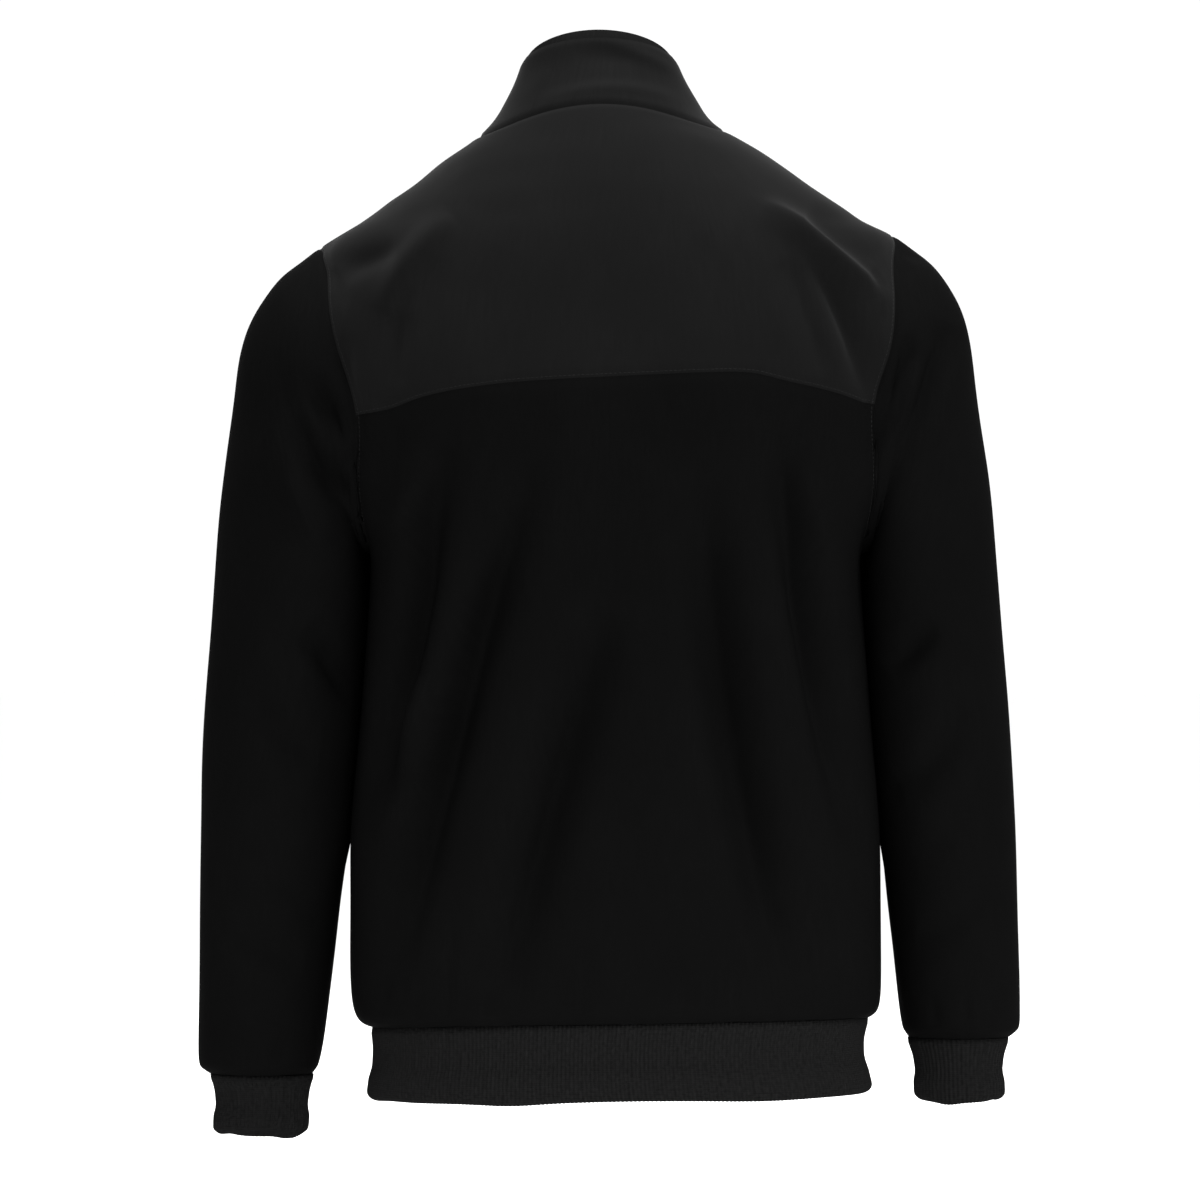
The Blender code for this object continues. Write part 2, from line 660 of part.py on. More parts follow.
def facing_grid():
    """The collar's inner layer, which rolls up past the outer one across the back."""
    angles = collar_angles()
    angles = angles[FACING_FRONT_COLUMNS : -FACING_FRONT_COLUMNS]
    height = np.linalg.norm(collar_point(angles, 1.0) - collar_point(angles, 0.0), axis=-1)
    roll = FACING_ROLL / height * np.maximum(np.cos(angles), 0) ** FACING_ROLL_FADE
    rise = np.array(COLLAR_RISES[:-1] + (FACING_START,))[:, None] + np.zeros(len(angles))
    rise[0] += roll
    angle = np.broadcast_to(angles, rise.shape)
    normals = surface_normals(collar_point, angle, rise)
    behind = CLOTH / 2 + SEAM_GAP + JERSEY / 2
    return collar_point(angle, rise) - normals * behind, normals


# ---- Walls ----


def grid_quads(points, closed):
    """Corner indices of each square of a grid, in order round it."""
    rows, columns = points.shape[:2]
    numbers = np.arange(rows * columns).reshape(rows, columns)
    if closed:
        numbers = np.concatenate([numbers, numbers[:, :1]], axis=1)
    corners = [numbers[:-1, :-1], numbers[:-1, 1:], numbers[1:, 1:], numbers[1:, :-1]]
    return np.stack([corner.ravel() for corner in corners], axis=1)


def split_quads(points, quads):
    """Two triangles for each square, across its shorter diagonal."""
    flat = points.reshape(-1, 3)
    a, b, c, d = quads.T
    first = np.linalg.norm(flat[a] - flat[c], axis=1) <= np.linalg.norm(flat[b] - flat[d], axis=1)
    one = np.where(first[:, None], np.stack([a, b, c], 1), np.stack([a, b, d], 1))
    two = np.where(first[:, None], np.stack([a, c, d], 1), np.stack([b, c, d], 1))
    return np.concatenate([one, two])


def shared_offsets(grids, closed):
    """Offsets for walls one unit thick each way, the same for the points that panels share,
    so that the edges on both sides of a seam are parallel."""
    points = np.concatenate([grid.reshape(-1, 3) for grid in grids])
    _, same = np.unique(np.round(points / 1e-5), axis=0, return_inverse=True)
    same = same.reshape(-1)
    triangles, start = [], 0
    for grid, tube in zip(grids, closed):
        triangles.append(split_quads(grid, grid_quads(grid, tube)) + start)
        start += grid.shape[0] * grid.shape[1]
    triangles = np.concatenate(triangles)
    corners = points[triangles]
    flat = np.cross(corners[:, 1] - corners[:, 0], corners[:, 2] - corners[:, 0])
    flat = flat / np.maximum(np.linalg.norm(flat, axis=1, keepdims=True), 1e-12)
    total = np.zeros((same.max() + 1, 3))
    angles = []
    for corner in range(3):
        one = unit(corners[:, (corner + 1) % 3] - corners[:, corner])
        two = unit(corners[:, (corner + 2) % 3] - corners[:, corner])
        angles.append(np.arccos(np.clip((one * two).sum(1), -1, 1)))
        np.add.at(total, same[triangles[:, corner]], flat * angles[-1][:, None])
    normals = unit(total)
    lean, weight = np.zeros(len(total)), np.zeros(len(total))
    for corner in range(3):
        spot = same[triangles[:, corner]]
        np.add.at(lean, spot, (flat * normals[spot]).sum(1) * angles[corner])
        np.add.at(weight, spot, angles[corner])
    stretch = 1 / np.clip(lean / weight, 1 / MOST_MITRE, 1)
    offsets = (normals * stretch[:, None])[same]
    split = np.cumsum([grid.shape[0] * grid.shape[1] for grid in grids])[:-1]
    return [part.reshape(grid.shape) for part, grid in zip(np.split(offsets, split), grids)]


def edge_loops(points, closed):
    """Loops of (row, column) pairs round a grid's edges."""
    rows, columns = points.shape[:2]
    if closed:
        return [[(row, column) for column in range(columns)] for row in (0, rows - 1)]
    top = [(0, column) for column in range(columns)]
    last = [(row, columns - 1) for row in range(1, rows)]
    bottom = [(rows - 1, column) for column in range(columns - 2, -1, -1)]
    first = [(row, 0) for row in range(rows - 2, 0, -1)]
    return [top + last + bottom + first]


def draw_in_edges(points, offsets, closed):
    """Moves each edge half a seam gap into its own panel."""
    moved = points.copy()
    rows, columns = points.shape[:2]
    for loop in edge_loops(points, closed):
        count = len(loop)
        inward = []
        for number in range(count):
            here, there = loop[number], loop[(number + 1) % count]
            run = points[there] - points[here]
            across = unit(np.cross(offsets[here] + offsets[there], run))
            middle_row = min(max(here[0], 1), rows - 2) if rows > 2 else rows - 1 - here[0]
            middle_column = here[1] if closed else min(max(here[1], 1), columns - 2)
            towards = points[middle_row, middle_column] - points[here]
            if not closed and columns == 2:
                towards = points[here[0], 1 - here[1]] - points[here]
            inward.append(across if across @ towards > 0 else -across)
        for number in range(count):
            one, two = inward[number - 1], inward[number]
            spread = max(1 + one @ two, 0.5)
            moved[loop[number]] = points[loop[number]] + (one + two) / spread * SEAM_GAP / 2
    return moved


def wall_faces(points, closed):
    """Triangles of a closed wall whose outer points come first and inner points second. Its
    rim is split the same way as that of the panel on the other side of the seam."""
    quads = grid_quads(points, closed)
    outer = split_quads(points, quads)
    count = points.shape[0] * points.shape[1]
    rims = []
    columns = points.shape[1]
    rank = points.reshape(-1, 3) @ SPLIT_WAY
    for loop in edge_loops(points, closed):
        numbers = [row * columns + column for row, column in loop]
        for here, there in zip(numbers, numbers[1:] + numbers[:1]):
            if rank[here] > rank[there]:
                rims += [(here, there, there + count), (here, there + count, here + count)]
            else:
                rims += [(here, there, here + count), (there, there + count, here + count)]
    return np.concatenate([outer, outer[:, ::-1] + count, np.array(rims)])


def add_mesh(name, points, faces, finish):
    """A closed mesh with its faces turned outwards."""
    mesh = bpy.data.meshes.new(name)
    mesh.from_pydata([tuple(point) for point in points], [], [tuple(map(int, face)) for face in faces])
    shape = bmesh.new()
    shape.from_mesh(mesh)
    bmesh.ops.recalc_face_normals(shape, faces=shape.faces)
    shape.to_mesh(mesh)
    shape.free()
    mesh.shade_smooth()
    mesh.set_sharp_from_angle(angle=math.radians(50))
    mesh.materials.append(materials[finish])
    piece = bpy.data.objects.new(name, mesh)
    jacket.objects.link(piece)
    return piece


def add_wall(name, points, offsets, thickness, finish, closed=False):
    outer = points + offsets * thickness / 2
    inner = points - offsets * thickness / 2
    both = np.concatenate([outer.reshape(-1, 3), inner.reshape(-1, 3)])
    return add_mesh(name, both, wall_faces(points, closed), finish)


# ---- Ribbed bands ----


def even_values(path, start, end, count):
    """Values from start to end that lie evenly along path(values)."""
    values = np.linspace(start, end, 2001)
    lengths = np.linalg.norm(np.diff(path(values), axis=0), axis=1)
    distance = np.concatenate([[0], np.cumsum(lengths)])
    return np.interp(np.linspace(0, distance[-1], count + 1), distance, values), distance[-1]


def fan(fine, coarse):
    """Triangles between a fine row of points and a coarse one."""
    faces = []
    step = (len(fine) - 1) // (len(coarse) - 1)
    half = step // 2
    for number in range(len(coarse) - 1):
        start = number * step
        one, two = coarse[number], coarse[number + 1]
        faces += [(fine[start + i], fine[start + i + 1], one) for i in range(half)]
        faces.append((fine[start + half], two, one))
        faces += [(fine[start + i], fine[start + i + 1], two) for i in range(half, step)]
    return faces


def add_ribbed_band(name, middle, normals, finish, closed):
    """A band with one rib every two columns on its outside, and a plain inside. middle and
    normals run all round it, with the first column again at the end if it is closed."""
    rows, columns = middle.shape[:2]
    raised = (np.arange(columns) % 2)[None, :, None]
    outer = middle + normals * (RIB_CLOTH / 2 + RIB_RAISE * raised)
    inside_columns = np.arange(0, columns, RIB_INSIDE_STEP)
    inner = middle[:, inside_columns] - normals[:, inside_columns] * RIB_CLOTH / 2
    if closed:
        outer, inner = outer[:, :-1], inner[:, :-1]
    outer_numbers = np.arange(outer.shape[0] * outer.shape[1]).reshape(outer.shape[:2])
    inner_numbers = np.arange(inner.shape[0] * inner.shape[1]).reshape(inner.shape[:2])
    inner_numbers = inner_numbers + outer_numbers.size
    faces = [split_quads(outer, grid_quads(outer, closed))]
    faces.append(split_quads(inner, grid_quads(inner, closed))[:, ::-1] + outer_numbers.size)
    if closed:
        outer_numbers = np.concatenate([outer_numbers, outer_numbers[:, :1]], axis=1)
        inner_numbers = np.concatenate([inner_numbers, inner_numbers[:, :1]], axis=1)
    else:
        for end in (0, -1):
            for row in range(rows - 1):
                a, b = outer_numbers[row, end], outer_numbers[row + 1, end]
                c, d = inner_numbers[row + 1, end], inner_numbers[row, end]
                faces.append(np.array([(a, b, c), (a, c, d)] if end == 0 else [(a, c, b), (a, d, c)]))
    top = np.array(fan(list(outer_numbers[0]), list(inner_numbers[0])))
    bottom = np.array(fan(list(outer_numbers[-1]), list(inner_numbers[-1])))
    faces += [top[:, ::-1], bottom]
    points = np.concatenate([outer.reshape(-1, 3), inner.reshape(-1, 3)])
    return add_mesh(name, points, np.concatenate(faces), finish)


def level_normals(points, closed):
    """Level outward normals of rings whose columns turn left."""
    if closed:
        around = np.concatenate([points[:, -2:-1], points, points[:, 1:2]], axis=1)
        run = around[:, 2:] - around[:, :-2]
    else:
        run = np.gradient(points, axis=1)
    flat = np.stack([-run[..., 1], run[..., 0], np.zeros(run.shape[:2])], axis=-1)
    return unit(flat)


def whole_ribs(length):
    """Columns for the whole ribs that fit the length, in steps that the inside can share."""
    return round(length / RIB_PITCH * 2 / RIB_INSIDE_STEP) * RIB_INSIDE_STEP


def add_hem_band():
    levels = np.array(HEM_BAND)[::-1, 0] * MM
    middle_level = levels[1]
    end = float(body.front_turn(ZIP_HALF_GAP, HEM_SEAM_Z, LEFT))
    _, length = even_values(lambda turn: hem.point(turn, middle_level), -end, end, 1)
    count = whole_ribs(length)
    turns, _ = even_values(lambda turn: hem.point(turn, middle_level), -end, end, count)
    middle = hem_cloth(*np.meshgrid(turns, levels))
    return add_ribbed_band("hem_band", middle, level_normals(middle, False), "black_rib", False)


def add_cuff(side, name):
    rows = column_table(CUFFS[side], CUFF_COLUMNS)

    def ring(angle, row):
        half = (rows["outer_x"][row] - rows["inner_x"][row]) / 2
        x = side * (rows["outer_x"][row] + rows["inner_x"][row]) / 2 + half * np.sin(angle)
        y = rows["centre_y"][row] + rows["half_depth"][row] * np.cos(angle)
        return np.stack([x, y, np.full_like(x, rows["z"][row])], axis=-1)

    _, length = even_values(lambda angle: ring(angle, 1), 0, FULL_TURN, 1)
    angles, _ = even_values(lambda angle: ring(angle, 1), 0, FULL_TURN, whole_ribs(length))
    middle = np.stack([ring(angles, row) for row in range(len(rows["z"]))])
    return add_ribbed_band(name, middle, level_normals(middle, True), "black_rib", True)


# ---- Zip ----


def zip_edge(side):
    """The cloth's points beside the zip, from the collar's top to the hem's lower edge, the
    ways from them towards the side, and how far behind them the tape lies."""
    collar, front = collar_grid(), front_grid(side)
    edge, beside = (-1, -2) if side == LEFT else (0, 1)
    levels = np.array(HEM_BAND)[-2::-1, 0] * MM
    levels[-1] += TAPE_END_INSET
    hem_edge = hem_cloth(hem.front_turn(ZIP_HALF_GAP, levels, side), levels)
    hem_beside = hem_cloth(hem.front_turn(TAPE_WIDTH, levels, side), levels)
    points = np.concatenate([collar[:-1, edge], front[:, edge], hem_edge])
    others = np.concatenate([collar[:-1, beside], front[:, beside], hem_beside])
    behind = np.full(len(points), CLOTH / 2 + 2 * SEAM_GAP + TAPE / 2)
    behind[-len(levels) :] = RIB_CLOTH / 2 + 2 * SEAM_GAP + TAPE / 2
    behind[-len(levels) - 1] += BODY_OVER_HEM
    points[0] = points[0] + unit(points[1] - points[0]) * TAPE_END_INSET
    return points, unit(others - points), behind


def add_tapes():
    """Tapes behind the cloth's zip edges, made from those edges' own points. They run level
    from there to the zip's centre line, where their own edges face each other."""
    edges = {side: zip_edge(side) for side in (LEFT, RIGHT)}
    centre_x = (edges[LEFT][0][:, 0] + edges[RIGHT][0][:, 0]) / 2
    for side, name in ((LEFT, "zip_tape_left"), (RIGHT, "zip_tape_right")):
        points, sideways, behind = edges[side]
        centre = points.copy()
        centre[:, 0] = centre_x + side * SEAM_GAP / 2
        outside = points + sideways * (TAPE_WIDTH - ZIP_HALF_GAP)
        rows = np.stack([outside, points, centre] if side == LEFT else [centre, points, outside], axis=1)
        offsets = shared_offsets([rows], [False])[0]
        offsets[:, -1 if side == LEFT else 0, 0] = 0
        add_wall(name, rows - offsets * behind[:, None, None], offsets, TAPE, "zip_tape")


def add_box(name, size, place, bevel=0.0):
    """A box of the given size at a place, in the slider's own axes."""
    bpy.ops.mesh.primitive_cube_add(size=1, location=(0, 0, 0))
    box = bpy.context.object
    box.name = name
    box.data.transform(Matrix.Translation(place) @ Matrix.Diagonal((*size, 1)))
    if bevel:
        rounded = box.modifiers.new("rounded edges", "BEVEL")
        rounded.width, rounded.segments = bevel, 2
    for collection in list(box.users_collection):
        collection.objects.unlink(box)
    return box


def join_solids(whole, others):
    for other in others:
        union = whole.modifiers.new("join " + other.name, "BOOLEAN")
        union.operation, union.object = "UNION", other
        cutters.objects.link(other)
        other.hide_render = True
        other.display_type = "WIRE"


def slider_frame():
    """The slider's place and axes: X across, Y up the zip, Z out of the cloth."""
    height = np.linalg.norm(collar_point(math.pi, 1.0) - collar_point(math.pi, 0.0))
    rise = 1 - SLIDER_BELOW_TOP / height
    centre = collar_point(math.pi, rise)
    up = unit(collar_point(math.pi, rise + 0.05) - collar_point(math.pi, rise - 0.05))
    across = np.array([1.0, 0.0, 0.0])
    across = unit(across - up * (across @ up))
    out = np.cross(across, up)
    back_of_slider = SLIDER_LIFT - CLOTH / 2 - SEAM_GAP
    place = centre + out * (back_of_slider + SLIDER_SIZE[2] / 2)
    axes = Matrix(np.stack([across, up, out], axis=1).tolist()).to_4x4()
    return Matrix.Translation(Vector(place)) @ axes


def add_slider_and_pull():
    frame = slider_frame()
    top = SLIDER_SIZE[2] / 2
    width, length, height = BRIDGE_SIZE
    slider = add_box("zip_slider", SLIDER_SIZE, (0, 0, 0), bevel=0.9 * MM)
    bridge_middle = top + height - BRIDGE_THICK / 2
    bridge = add_box("bridge_top", (width, length, BRIDGE_THICK), (0, 0, bridge_middle))
    legs = []
    for end in (-1, 1):
        sunk = height + 1 * MM
        place = (0, end * (length - BRIDGE_THICK) / 2, top + height - sunk / 2)
        legs.append(add_box(f"bridge_leg_{end + 1}", (width, BRIDGE_THICK, sunk), place))
    join_solids(slider, [bridge] + legs)
    jacket.objects.link(slider)
    slider.data.materials.append(materials["gunmetal"])
    for solid in [slider, bridge] + legs:
        solid.matrix_world = frame
    pivot = frame @ Vector((0, 0, top + PIVOT_ABOVE_SLIDER))

    wide, long, thick = PULL_SIZE
    pull = add_box("zip_pull", (wide, thick, long), (0, 0, thick / 2 - long / 2), bevel=0.45 * MM)
    slot_wide, slot_long = PULL_SLOT
    slot = add_box("pull_slot", (slot_wide, 4 * thick, slot_long), (0, 0, -thick / 2 - slot_long / 2))
    cut = pull.modifiers.new("slot for the bridge", "BOOLEAN")
    cut.operation, cut.object = "DIFFERENCE", slot
    cutters.objects.link(slot)
    slot.hide_render = True
    slot.display_type = "WIRE"
    jacket.objects.link(pull)
    pull.data.materials.append(materials["gunmetal"])
    pull.location = slot.location = pivot
    return pivot


# ---- The whole jacket ----


def new_material(name, colour, roughness, metallic):
    material = bpy.data.materials.new(name)
    material.use_nodes = True
    shader = material.node_tree.nodes["Principled BSDF"]
    shader.inputs["Base Color"].default_value = (*colour, 1)
    shader.inputs["Roughness"].default_value = roughness
    shader.inputs["Metallic"].default_value = metallic
    return material


def add_panels():
    """The panels that share seams get their offsets together."""
    sleeve_left, sleeve_right = Sleeve(LEFT), Sleeve(RIGHT)
    panels = (
        ("back_yoke", yoke_grid(), "charcoal_softshell", False),
        ("back_body", back_grid(), "black_softshell", False),
        ("front_left", front_grid(LEFT), "black_softshell", False),
        ("front_right", front_grid(RIGHT), "black_softshell", False),
        ("collar", collar_grid(), "charcoal_softshell", False),
        ("sleeve_left", sleeve_left.grid(), "black_softshell", True),
        ("sleeve_right", sleeve_right.grid(), "black_softshell", True),
    )
    offsets = shared_offsets([panel[1] for panel in panels], [panel[3] for panel in panels])
    for (name, points, finish, closed), offset in zip(panels, offsets):
        if name != "collar" and name != "back_yoke":
            offset[-1, :, 2] = 0
            offset[-1] = unit(offset[-1])
        points = draw_in_edges(points, offset, closed)
        add_wall(name, points, offset, CLOTH, finish, closed)


for old in list(bpy.data.objects):
    bpy.data.objects.remove(old)
jacket = bpy.data.collections.new("track_jacket")
cutters = bpy.data.collections.new("cutters")
bpy.context.scene.collection.children.link(jacket)
bpy.context.scene.collection.children.link(cutters)
materials = {name: new_material(name, *finish) for name, finish in FINISHES.items()}

add_panels()
facing_points, facing_normals = facing_grid()
add_wall("collar_facing", facing_points, facing_normals, JERSEY, "black_jersey")
add_hem_band()
add_cuff(LEFT, "cuff_left")
add_cuff(RIGHT, "cuff_right")
add_tapes()
pull_pivot = add_slider_and_pull()
print("pull pivot", tuple(round(value, 5) for value in pull_pivot))
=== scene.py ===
"""The looks of a zipped track jacket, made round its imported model.

Every cloth panel starts from the outer side of its own node. The panels are joined along their
seams into one smooth cloth, which gets its creases, and are then cut apart again and given
their thickness. The ribs, the sewing and the zip's teeth are made from the nodes' own edges.

Metres, +Z up. The front faces -Y and the wearer's left is +X.
"""

import math

import bmesh
import bpy
import numpy as np
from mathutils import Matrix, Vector, noise
from mathutils.bvhtree import BVHTree
from mathutils.kdtree import KDTree


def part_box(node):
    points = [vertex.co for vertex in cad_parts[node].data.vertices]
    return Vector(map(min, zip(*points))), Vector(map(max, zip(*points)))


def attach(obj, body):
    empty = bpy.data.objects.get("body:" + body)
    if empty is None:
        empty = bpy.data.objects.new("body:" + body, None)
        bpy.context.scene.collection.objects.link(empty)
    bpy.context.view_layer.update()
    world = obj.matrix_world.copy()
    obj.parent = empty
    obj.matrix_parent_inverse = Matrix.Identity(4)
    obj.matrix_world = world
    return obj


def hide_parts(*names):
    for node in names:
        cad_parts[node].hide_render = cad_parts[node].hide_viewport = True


MM = 0.001
LEFT, RIGHT = 1, -1
FULL_TURN = 2 * math.pi

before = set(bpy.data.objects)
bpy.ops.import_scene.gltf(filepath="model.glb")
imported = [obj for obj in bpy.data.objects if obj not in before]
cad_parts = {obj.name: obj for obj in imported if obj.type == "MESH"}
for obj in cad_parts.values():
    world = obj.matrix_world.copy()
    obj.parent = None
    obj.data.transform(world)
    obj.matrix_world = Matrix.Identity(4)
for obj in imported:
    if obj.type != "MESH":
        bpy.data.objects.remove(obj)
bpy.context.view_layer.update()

SLEEVE_SIDES = {"sleeve_left": LEFT, "sleeve_right": RIGHT}
PANELS = ("back_yoke", "back_body", "front_left", "front_right", "collar", *SLEEVE_SIDES)
CHARCOAL_PANELS = ("back_yoke", "collar")

# The large folds that the solids have, seen square on, in millimetres: each runs through three
# points. A depth above 0 is a trough and below 0 a ridge.
FOLD_COLUMNS = ("x1", "z1", "x2", "z2", "x3", "z3", "width", "depth", "lean")
BACK_FOLDS = (
    (112, -222, 141, -345, 170, -495, 14, 7),
    (46, -226, 104, -403, 158, -615, 17, 7.5),
    (4, -339, 40, -480, 82, -622, 19, 7),
    (-64, -250, -84, -416, -129, -622, 18, 7),
    (-114, -214, -142, -339, -176, -520, 15, 7.5),
    (124, -234, 138, -262, 148, -292, 12, -3.5),
    (129, -390, 136, -430, 141, -470, 13, -4),
    (-131, -243, -140, -275, -149, -311, 12, -3.5),
    (109, -68, 140, -101, 160, -140, 11, -4.5),
    (150, -88, 172, -98, 194, -106, 11, 4.5),
    (147, -135, 150, -160, 152, -192, 12, 3),
    (-104, -60, -147, -89, -191, -125, 10, -5.5),
    (-138, -66, -162, -82, -187, -106, 12, 5),
    (-142, -96, -168, -142, -184, -200, 11, 6),
    (-124, -98, -138, -138, -151, -184, 12, 3),
)
FRONT_FOLDS = (
    (116, -160, 132, -290, 150, -430, 16, 6.5),
    (70, -210, 92, -380, 130, -600, 18, 7),
    (34, -330, 44, -470, 66, -615, 16, 5.5),
    (-122, -150, -134, -300, -158, -470, 16, 7),
    (-76, -190, -88, -390, -124, -600, 18, 6.5),
    (-36, -300, -50, -450, -58, -610, 16, 5),
    (96, -72, 128, -100, 160, -150, 12, -4.5),
    (-92, -70, -132, -104, -166, -158, 12, -4.5),
)
SLEEVE_BACK_FOLDS = {
    LEFT: (
        (213, -187, 197, -208, 180, -232, 10, 5.5),
        (231, -199, 204, -248, 181, -262, 11, 6.5),
        (226, -249, 214, -278, 198, -304, 12, -4),
        (214, -356, 198, -380, 181, -409, 11, 5),
        (262, -400, 236, -432, 204, -446, 14, 5),
        (276, -560, 250, -585, 214, -596, 14, 4),
    ),
    RIGHT: (
        (243, -142, 226, -190, 198, -243, 12, 6.5),
        (215, -155, 204, -179, 187, -209, 10, 4),
        (222, -169, 209, -206, 194, -238, 10, -4),
        (234, -358, 214, -374, 194, -388, 11, 5),
        (256, -418, 232, -450, 204, -470, 14, 5),
        (274, -540, 248, -566, 216, -574, 14, 4),
    ),
}
SLEEVE_FRONT_FOLDS = {
    LEFT: (
        (232, -160, 214, -206, 190, -246, 12, 6),
        (256, -226, 226, -262, 196, -282, 12, 4.5),
        (268, -352, 234, -384, 194, -398, 13, 7),
        (264, -410, 232, -430, 198, -432, 13, 6),
        (272, -500, 244, -530, 208, -540, 14, 4),
    ),
    RIGHT: (
        (238, -150, 218, -196, 194, -240, 12, 6),
        (254, -214, 228, -250, 200, -276, 12, 4.5),
        (264, -340, 232, -372, 200, -384, 13, 7),
        (260, -398, 230, -418, 204, -424, 13, 6),
        (272, -486, 244, -512, 210, -520, 14, 4),
    ),
}

# The finer creases between them. lean makes one bank of a crease steeper than the other.
BACK_CREASES = (
    # Yoke, wearer's left: the shoulder's ridge, its crisp lower bank, and short ones by the armhole
    (108, -70, 131, -97, 153, -127, 5, -1.6, 0.6),
    (144, -118, 149, -152, 152, -190, 5, 1.5, -0.5),
    (184, -152, 183, -172, 181, -194, 6, 2.4, 0.3),
    (196, -104, 190, -118, 186, -134, 5, 1.6),
    (118, -96, 124, -128, 126, -166, 9, 1.1, 0.2),
    (72, -92, 86, -128, 92, -170, 12, 0.9, -0.2),
    # Yoke, wearer's right
    (-104, -60, -147, -89, -192, -126, 4.5, -2, -0.7),
    (-136, -92, -162, -132, -184, -198, 4.5, 2.2, 0.5),
    (-126, -102, -140, -140, -152, -186, 5, 1.4, -0.4),
    (-190, -132, -187, -150, -185, -172, 5, 1.8),
    (-176, -98, -186, -110, -193, -122, 4, 1.6, 0.3),
    (-62, -84, -78, -120, -88, -168, 12, 0.9, 0.2),
    (10, -70, 4, -110, 6, -160, 15, 0.7),
    # Back body: crisp lines beside the long troughs, and short ones between them
    (118, -236, 143, -340, 168, -470, 5, 1.3, 0.6),
    (58, -262, 104, -398, 150, -570, 6, 1.3, -0.6),
    (8, -352, 38, -470, 76, -600, 6, 1.1, 0.5),
    (-66, -268, -86, -420, -126, -600, 6, 1.2, -0.5),
    (-118, -226, -144, -342, -172, -500, 5, 1.4, 0.6),
    (84, -232, 92, -300, 98, -352, 9, 1, 0.3),
    (-20, -232, -26, -330, -34, -420, 12, 0.9),
    (-94, -230, -104, -282, -116, -344, 8, 1, -0.3),
    (32, -232, 28, -270, 30, -312, 9, 0.8, 0.2),
    (158, -300, 163, -350, 166, -402, 7, 1.3, 0.4),
    (-160, -320, -165, -380, -169, -440, 7, 1.3, -0.4),
    (120, -470, 136, -530, 150, -600, 8, 1.2, -0.3),
    (-96, -480, -106, -540, -118, -604, 9, 1.1, 0.3),
    (-150, -540, -156, -585, -160, -622, 7, 1.2),
    # Puckers that start at the hem's seam
    (108, -566, 111, -600, 113, -634, 3.5, 1.6, 0.5),
    (16, -586, 17, -608, 17, -634, 3, 1.4, -0.4),
    (132, -606, 134, -620, 136, -635, 4, 1.2),
    (86, -612, 86, -624, 88, -636, 4, 1, 0.3),
    (60, -600, 62, -618, 63, -634, 5, 1.1),
    (-14, -616, -14, -626, -13, -636, 4, 0.9),
    (-48, -604, -50, -618, -50, -635, 5, 1.2, -0.3),
    (-88, -610, -90, -622, -92, -636, 4, 1.1, 0.2),
    (-112, -596, -114, -616, -116, -635, 5, 1.3),
    (-140, -612, -142, -624, -143, -636, 4, 1.1),
    (158, -600, 160, -616, 160, -634, 5, 1.4),
    (-166, -598, -168, -616, -168, -634, 5, 1.4),
    # Puckers along the yoke's seam
    (150, -212, 150, -222, 151, -238, 4, 0.9),
    (96, -190, 96, -202, 97, -220, 4, 0.8, 0.2),
    (-40, -190, -41, -202, -42, -222, 5, 0.7),
    (-132, -206, -134, -220, -136, -240, 4, 1, 0.2),
)
FRONT_CREASES = (
    (122, -170, 134, -290, 150, -410, 5, 1.2, 0.5),
    (74, -220, 94, -380, 126, -570, 6, 1.2, -0.5),
    (-124, -160, -135, -300, -156, -450, 5, 1.2, -0.5),
    (-78, -200, -90, -390, -120, -570, 6, 1.2, 0.5),
    (164, -150, 172, -196, 172, -250, 7, 2, 0.3),
    (-160, -146, -168, -190, -170, -244, 7, 1.8, -0.3),
    (96, -72, 128, -100, 158, -146, 5, -1.4, 0.5),
    (-92, -70, -132, -104, -164, -154, 5, -1.5, -0.5),
    (60, -100, 72, -140, 76, -190, 12, 1.2, 0.2),
    (-56, -104, -66, -150, -70, -200, 12, 1.1, -0.2),
    (104, -470, 118, -530, 130, -600, 8, 1.2, 0.3),
    (-100, -480, -112, -540, -124, -604, 8, 1.2, -0.3),
    (150, -500, 156, -560, 160, -615, 7, 1.3),
    (-152, -510, -158, -565, -162, -618, 7, 1.2),
    (30, -594, 31, -614, 32, -634, 4, 1.1, 0.2),
    (52, -608, 53, -620, 54, -635, 4, 1),
    (88, -600, 90, -618, 92, -634, 5, 1.2, -0.2),
    (128, -606, 130, -620, 131, -635, 4, 1.2),
    (-34, -600, -35, -618, -36, -634, 4, 1.1),
    (-66, -606, -68, -620, -69, -635, 4, 1.1, 0.2),
    (-96, -598, -99, -616, -100, -634, 5, 1.2),
    (-136, -604, -138, -620, -140, -635, 5, 1.3),
)
COLLAR_CREASES = (
    # Seen from behind: the ridge above the seam, the hollow over it and the slanting ridge
    (52, 13, 0, 23, -50, 15, 4.5, -1.7),
    (26, 46, 0, 47, -24, 46, 9, 1.7),
    (2, 56, -24, 48, -47, 37, 5, -1.6, 0.4),
    (40, 36, 50, 26, 58, 12, 7, -1),
)
